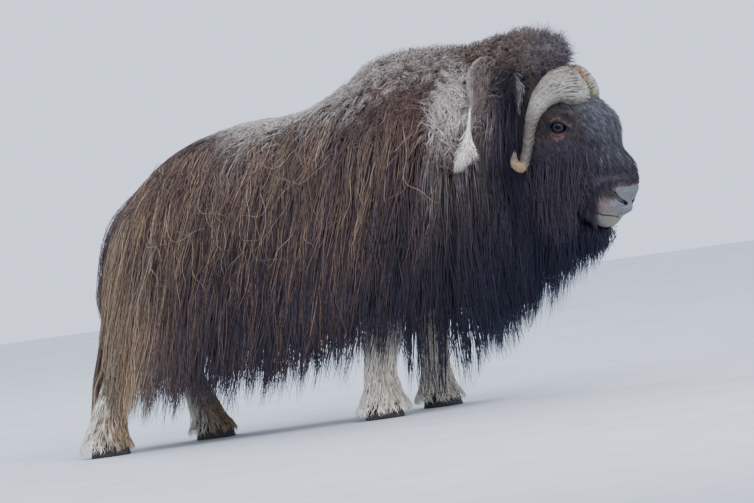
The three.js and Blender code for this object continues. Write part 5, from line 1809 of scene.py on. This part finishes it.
@dataclass
class Camera:
    """The photograph's own view: level with the animal from far off, and rolled a little."""

    aim: tuple = (0.103, 0.0, 0.616)
    distance: float = 40.0
    rise: float = math.radians(2.0)
    roll: float = math.radians(7.9)
    frame_width: float = 2.8275
    sensor: float = 36.0
    far_end: float = 90.0

    def build(self, offset: Vector) -> None:
        """Place the camera and make it the scene's."""
        data = bpy.data.cameras.new("camera")
        data.sensor_width = self.sensor
        data.lens = self.sensor * self.distance / self.frame_width
        data.clip_end = self.far_end
        made = linked("camera", data)
        back = Vector((0.0, -math.cos(self.rise), math.sin(self.rise)))
        right = Vector((math.cos(self.roll), 0.0, -math.sin(self.roll)))
        right = (right - back * right.dot(back)).normalized()
        turn = Matrix((right, back.cross(right), back)).transposed().to_4x4()
        made.matrix_world = Matrix.Translation(Vector(self.aim) + offset + back * self.distance) @ turn
        bpy.context.scene.camera = made


@dataclass
class Studio:
    """A pale floor, soft light from an overcast sky, and two large lamps."""

    size: float = 12.0  # half the floor's width
    sky: tuple = (0.72, 0.81, 1.0, 1.0)
    sky_strength: float = 1.6
    lit: tuple = (0.0, 0.0, 0.7)  # where the lamps point
    # Each lamp: its place, width, power and colour.
    lamps: dict = field(default_factory=lambda: {
        "key": ((2.5, -5.0, 5.5), 4.0, 300.0, (1.0, 0.97, 0.93)),
        "back": ((-3.0, 4.0, 5.0), 4.0, 160.0, (0.86, 0.92, 1.0)),
    })

    def build(self) -> None:
        """Make the floor, the lamps and the sky."""
        corners = np.array([[-1, -1, 0], [1, -1, 0], [1, 1, 0], [-1, 1, 0]], float) * self.size
        floor = mesh_object("floor", corners, np.array([[0, 1, 2], [0, 2, 3]]))
        nodes = Nodes("pale floor")
        mottle = nodes.spread(nodes.noise(3.0, 4.0), (0.3, 0.7), (0.0, 1.0))
        nodes.base(nodes.mix(mottle, (0.62, 0.64, 0.67), (0.70, 0.72, 0.75)))
        nodes.set(roughness=0.8)
        floor.data.materials.append(nodes.material)
        world = bpy.data.worlds.new("overcast")
        bpy.context.scene.world = world
        world.use_nodes = True
        background = world.node_tree.nodes["Background"]
        background.inputs["Color"].default_value = self.sky
        background.inputs["Strength"].default_value = self.sky_strength
        for name, (place, width, power, colour) in self.lamps.items():
            data = bpy.data.lights.new(name, "AREA")
            data.size = width
            data.energy = power
            data.color = colour
            lamp = linked(name, data)
            lamp.location = place
            lamp.rotation_euler = (Vector(self.lit) - Vector(place)).to_track_quat("-Z", "Y").to_euler()


@dataclass
class Muskox:
    """The whole animal, put together in the frame."""

    offset: Vector
    trunk: Trunk = field(default_factory=Trunk)
    head: Head = field(default_factory=Head)
    markings: Markings = field(default_factory=Markings)
    face_marks: FaceMarkings = field(default_factory=FaceMarkings)

    @staticmethod
    def ridden(piece: bpy.types.Object, slot: str, material: bpy.types.Material) -> bpy.types.Object:
        """Let a piece ride on the body, with its finish."""
        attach(piece, "root")
        piece.data.materials.clear()
        piece.data.materials.append(material)
        return piece

    def fitted(self, name: str, mesh: Mesh, slot: str, material: bpy.types.Material) -> bpy.types.Object:
        """Make a piece from points and triangles of the part's own place."""
        return self.ridden(mesh_object(name, mesh[0] + np.array(self.offset), mesh[1]), slot, material)

    def fused(self, name: str, parts: list[Mesh], cuts: list[Mesh]) -> bpy.types.Object:
        """Join closed meshes into one and cut others out of it.

        Args:
            name: What the new object is called.
            parts: Points and triangles of each mesh to join, in the part's place.
            cuts: The same of each mesh to cut out.

        Returns:
            The new object.
        """
        made = [mesh_object(f"flesh_{k}", points + np.array(self.offset), faces)
                for k, (points, faces) in enumerate(parts + cuts)]
        body = made[0]
        for number, other in enumerate(made[1:], 1):
            join = body.modifiers.new("join", "BOOLEAN")
            join.operation = "UNION" if number < len(parts) else "DIFFERENCE"
            join.solver = "MANIFOLD"
            join.object = other
        mesh = bpy.data.meshes.new_from_object(body.evaluated_get(bpy.context.evaluated_depsgraph_get()))
        for other in made:
            bpy.data.objects.remove(other)
        mesh.name = name
        mesh.shade_smooth()
        return linked(name, mesh)

    def hard_pieces(self) -> None:
        """Build the horns, eyes, ears and hooves in place of their solids."""
        horn, wet = HornFinish().build("horn"), EyeFinish().build("wet eye")
        leaf = PlainFinish().build("ear hide", tint("#2b272c"), 0.8)
        wall = PlainFinish().build("hoof wall", tint("#2a2624"), 0.5)
        for side in Side:
            *mesh, colours, grain = Horn(side).build(self.head)
            piece = self.fitted(f"boss_{side.word}", mesh, "horn", horn)
            paint(piece, "horn", colours)
            store(piece, "grain", Stored.VECTOR, grain)
            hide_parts(f"horn_{side.word}")
            *mesh, colours = Eye(side).build(self.head)
            piece = self.fitted(f"eyeball_{side.word}", mesh, "eye", wet)
            paint(piece, "eye", colours)
            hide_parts(f"eye_{side.word}")
            piece = self.fitted(f"leaf_{side.word}", Ear(side).build(self.head), "ear", leaf)
            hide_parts(f"ear_{side.word}")
        for leg in LEGS:
            hoof = Hoof(leg)
            piece = self.fused(f"claws_{leg.name}", [hoof.claw(1), hoof.claw(-1), hoof.heel()], [])
            self.ridden(piece, "hoof", wall)
            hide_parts(f"hoof_{leg.name}")

    @staticmethod
    def tail() -> Mesh:
        """Return the closed mesh of the short tail under the coat."""
        share, angle = np.linspace(0.0, 1.0, 16)[:, None], around(20)
        swell = np.sin(math.pi * (0.1 + 0.85 * share)) ** 0.6
        spot = leaning(-0.822, 0.0 * angle, 0.85 - 0.15 * share)
        return loft(spot + together(np.cos(angle) * 0.020 * swell, np.sin(angle) * 0.034 * swell, 0 * swell))

    def skin(self) -> bpy.types.Object:
        """Build the one skin that all the coat grows from."""
        parts = [self.trunk.skin(240, 160), self.head.skin(300, 200), self.head.dome(24, 40), self.tail()]
        parts += [leg.skin(40, 32, 0.012) for leg in LEGS] + self.head.additions()
        skin = self.fused("skin", parts, self.head.openings())
        self.ridden(skin, "coat", SkinFinish().build("hide"))
        flesh = ["rump", "flanks", "shoulders", "neck", "head", "tail"] + [f"leg_{leg.name}" for leg in LEGS]
        self.unwrap(skin)
        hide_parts(*flesh)
        self.colour_skin(skin)
        LOG.info("skin: %d vertices", len(skin.data.vertices))
        return skin

    @staticmethod
    def unwrap(skin: bpy.types.Object) -> None:
        """Unwrap the skin by its own shape."""
        bpy.context.view_layer.objects.active = skin
        skin.select_set(True)
        bpy.ops.object.mode_set(mode="EDIT")
        bpy.ops.mesh.select_all(action="SELECT")
        bpy.ops.uv.smart_project(angle_limit=math.radians(66), island_margin=0.004)
        bpy.ops.object.mode_set(mode="OBJECT")
        skin.data.uv_layers[0].name = BAKE_MAP
        skin.select_set(False)

    def colour_skin(self, skin: bpy.types.Object) -> None:
        """Store the skin's colours, and where its finish is streaked like hair."""
        places = vertices(skin) - np.array(self.offset)
        along, across, height = places.T
        # The skin is the coat's colour darkened, as painted shade under the hair; less so where the hump
        # carries wool.
        woolly = smooth(0.0, 0.1, along) * smooth(0.95, 1.05, height)
        hide = self.markings.body(along, height) * blend(0.45, 0.8, woolly)[:, None]
        for leg in LEGS:
            near_leg = (np.abs(across - leg.side) < 0.1) & (height < 0.36) & (np.abs(along - leg.hoof) < 0.2)
            # Painted shade under the leg hair: the stocking colour darkened.
            hide[near_leg] = 0.7 * self.markings.leg(leg, np.zeros(near_leg.sum()), height[near_leg])
        on_head = self.head.unturned(places)
        on_face = smooth(0.10, 0.16, on_head[:, 0]) * smooth(0.57, 0.60, height) * smooth(1.22, 1.18, height)
        paint(skin, "hide", blend(hide, self.face_marks.colour(on_head, self.head), on_face[:, None]))
        bare = smooth(0.78, 0.72, height) * smooth(0.33, 0.37, on_head[:, 0])
        store(skin, "furry", Stored.NUMBER, 1.0 - bare)


class SkinMap:
    """Finds the place of a point on the skin's unwrap."""

    def __init__(self, skin: bpy.types.Object) -> None:
        """Read the skin's triangles and their unwrap."""
        mesh = skin.data
        mesh.calc_loop_triangles()
        count = len(mesh.loop_triangles)
        corners, loops = np.empty(count * 3, np.int32), np.empty(count * 3, np.int32)
        mesh.loop_triangles.foreach_get("vertices", corners)
        mesh.loop_triangles.foreach_get("loops", loops)
        self.corners = corners.reshape(-1, 3)
        self.points = vertices(skin)
        spread = np.empty(len(mesh.loops) * 2, np.float32)
        mesh.uv_layers[BAKE_MAP].data.foreach_get("uv", spread)
        self.spread = spread.reshape(-1, 2)[loops].reshape(-1, 3, 2)
        self.tree = BVHTree.FromPolygons(self.points.tolist(), self.corners.tolist())

    def find(self, roots: Array) -> Array:
        """Return the unwrap's place nearest to each root."""
        found = [self.tree.find_nearest(root) for root in roots.tolist()]
        spots = np.array([hit[0] for hit in found])
        faces = np.array([hit[2] for hit in found])
        a, b, c = (self.points[self.corners[faces, k]] for k in range(3))
        ab, ac, ap = b - a, c - a, spots - a
        d00, d01, d11 = (ab * ab).sum(1), (ab * ac).sum(1), (ac * ac).sum(1)
        d20, d21 = (ap * ab).sum(1), (ap * ac).sum(1)
        scale = np.maximum(d00 * d11 - d01 * d01, 1e-18)
        v = (d11 * d20 - d01 * d21) / scale
        w = (d00 * d21 - d01 * d20) / scale
        weights = np.clip(np.stack([1 - v - w, v, w], -1), 0, 1)
        return (self.spread[faces] * weights[..., None]).sum(1)


@dataclass
class Dresser:
    """Makes batches of hairs into pieces of the coat, each with a place on the skin's unwrap."""

    ox: Muskox
    skin_map: SkinMap

    def dress(self, name: str, strands: Strands, material: bpy.types.Material, slot: str) -> None:
        """Make one batch of hairs into pieces.

        Args:
            name: What the pieces are called, before their number.
            strands: The hairs.
            material: Their finish.
            slot: The record's material slot, which is not used.
        """
        count = len(strands.paths)
        pieces = math.ceil(count / (PIECE_LIMIT // strands.triangles_each))
        for number in range(pieces):
            chosen = strands.part(slice(number * count // pieces, (number + 1) * count // pieces))
            points, triangles, share, hair = chosen.mesh()
            piece = self.ox.fitted(f"{name}_{number + 1}", (points, triangles), slot, material)
            colours = blend(chosen.root_colour[hair], chosen.tip_colour[hair], share[:, None] ** 0.8)
            paint(piece, "hair", colours)
            roots = self.skin_map.find(chosen.paths[:, 0] + np.array(self.ox.offset))
            edge = np.arange(len(points)) % (3 * (chosen.paths.shape[1] - 1) + 1) % 3
            spread = roots[hair] + PATCH * np.stack([edge / 2.0 - 0.5, share - 0.5], -1)
            layer = piece.data.uv_layers.new(name=BAKE_MAP)
            layer.data.foreach_set("uv", np.ascontiguousarray(spread[triangles.ravel()], np.float32).ravel())
        triangles = count * strands.triangles_each
        LOG.info("%s: %d hairs, %d triangles in %d pieces", name, count, triangles, pieces)


def main() -> None:
    """Build the animal and its studio, piece by piece."""
    logging.basicConfig(level=logging.INFO, format="%(name)s: %(message)s")
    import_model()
    low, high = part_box("hoof_front_right")
    front = LEGS[0]
    offset = Vector(((low[0] + high[0]) / 2 - front.hoof, (low[1] + high[1]) / 2 - front.side, 0.0))
    Camera().build(offset)
    Studio().build()
    ox = Muskox(offset)
    dresser = Dresser(ox, SkinMap(ox.skin()))
    coat = Coat(ox.trunk, ox.head, LEGS, ox.markings, ox.face_marks)
    hair, wool = HairFinish().build("guard hair", 0.62), HairFinish().build("wool", 0.8)
    under, outer = coat.flanks()
    for name, layer, finish, slot in (
        ("coat_under", under, hair, "coat"), ("coat_flanks", outer, hair, "coat"),
        ("coat_strays", coat.strays(), hair, "coat"), ("coat_back", coat.back(), hair, "coat"),
        ("coat_rear", coat.rear(), hair, "coat"), ("coat_wool", coat.wool(), wool, "mane"),
        ("coat_chest", coat.chest(), hair, "mane"), ("coat_beard", coat.beard(), hair, "face"),
        ("coat_cheeks", coat.cheeks(), hair, "face"), ("coat_crown", coat.crown(), wool, "face"),
        ("coat_face", coat.face(), hair, "face"), ("coat_ears", coat.ears(), hair, "ear"),
        ("coat_ruff", coat.ruff(), wool, "mane"), ("coat_shed", coat.shed(), wool, "mane"),
        ("coat_stockings", coat.stockings(), hair, "stocking"),
    ):
        dresser.dress(name, layer, finish, slot)
    ox.hard_pieces()


if __name__ == "__main__":
    main()
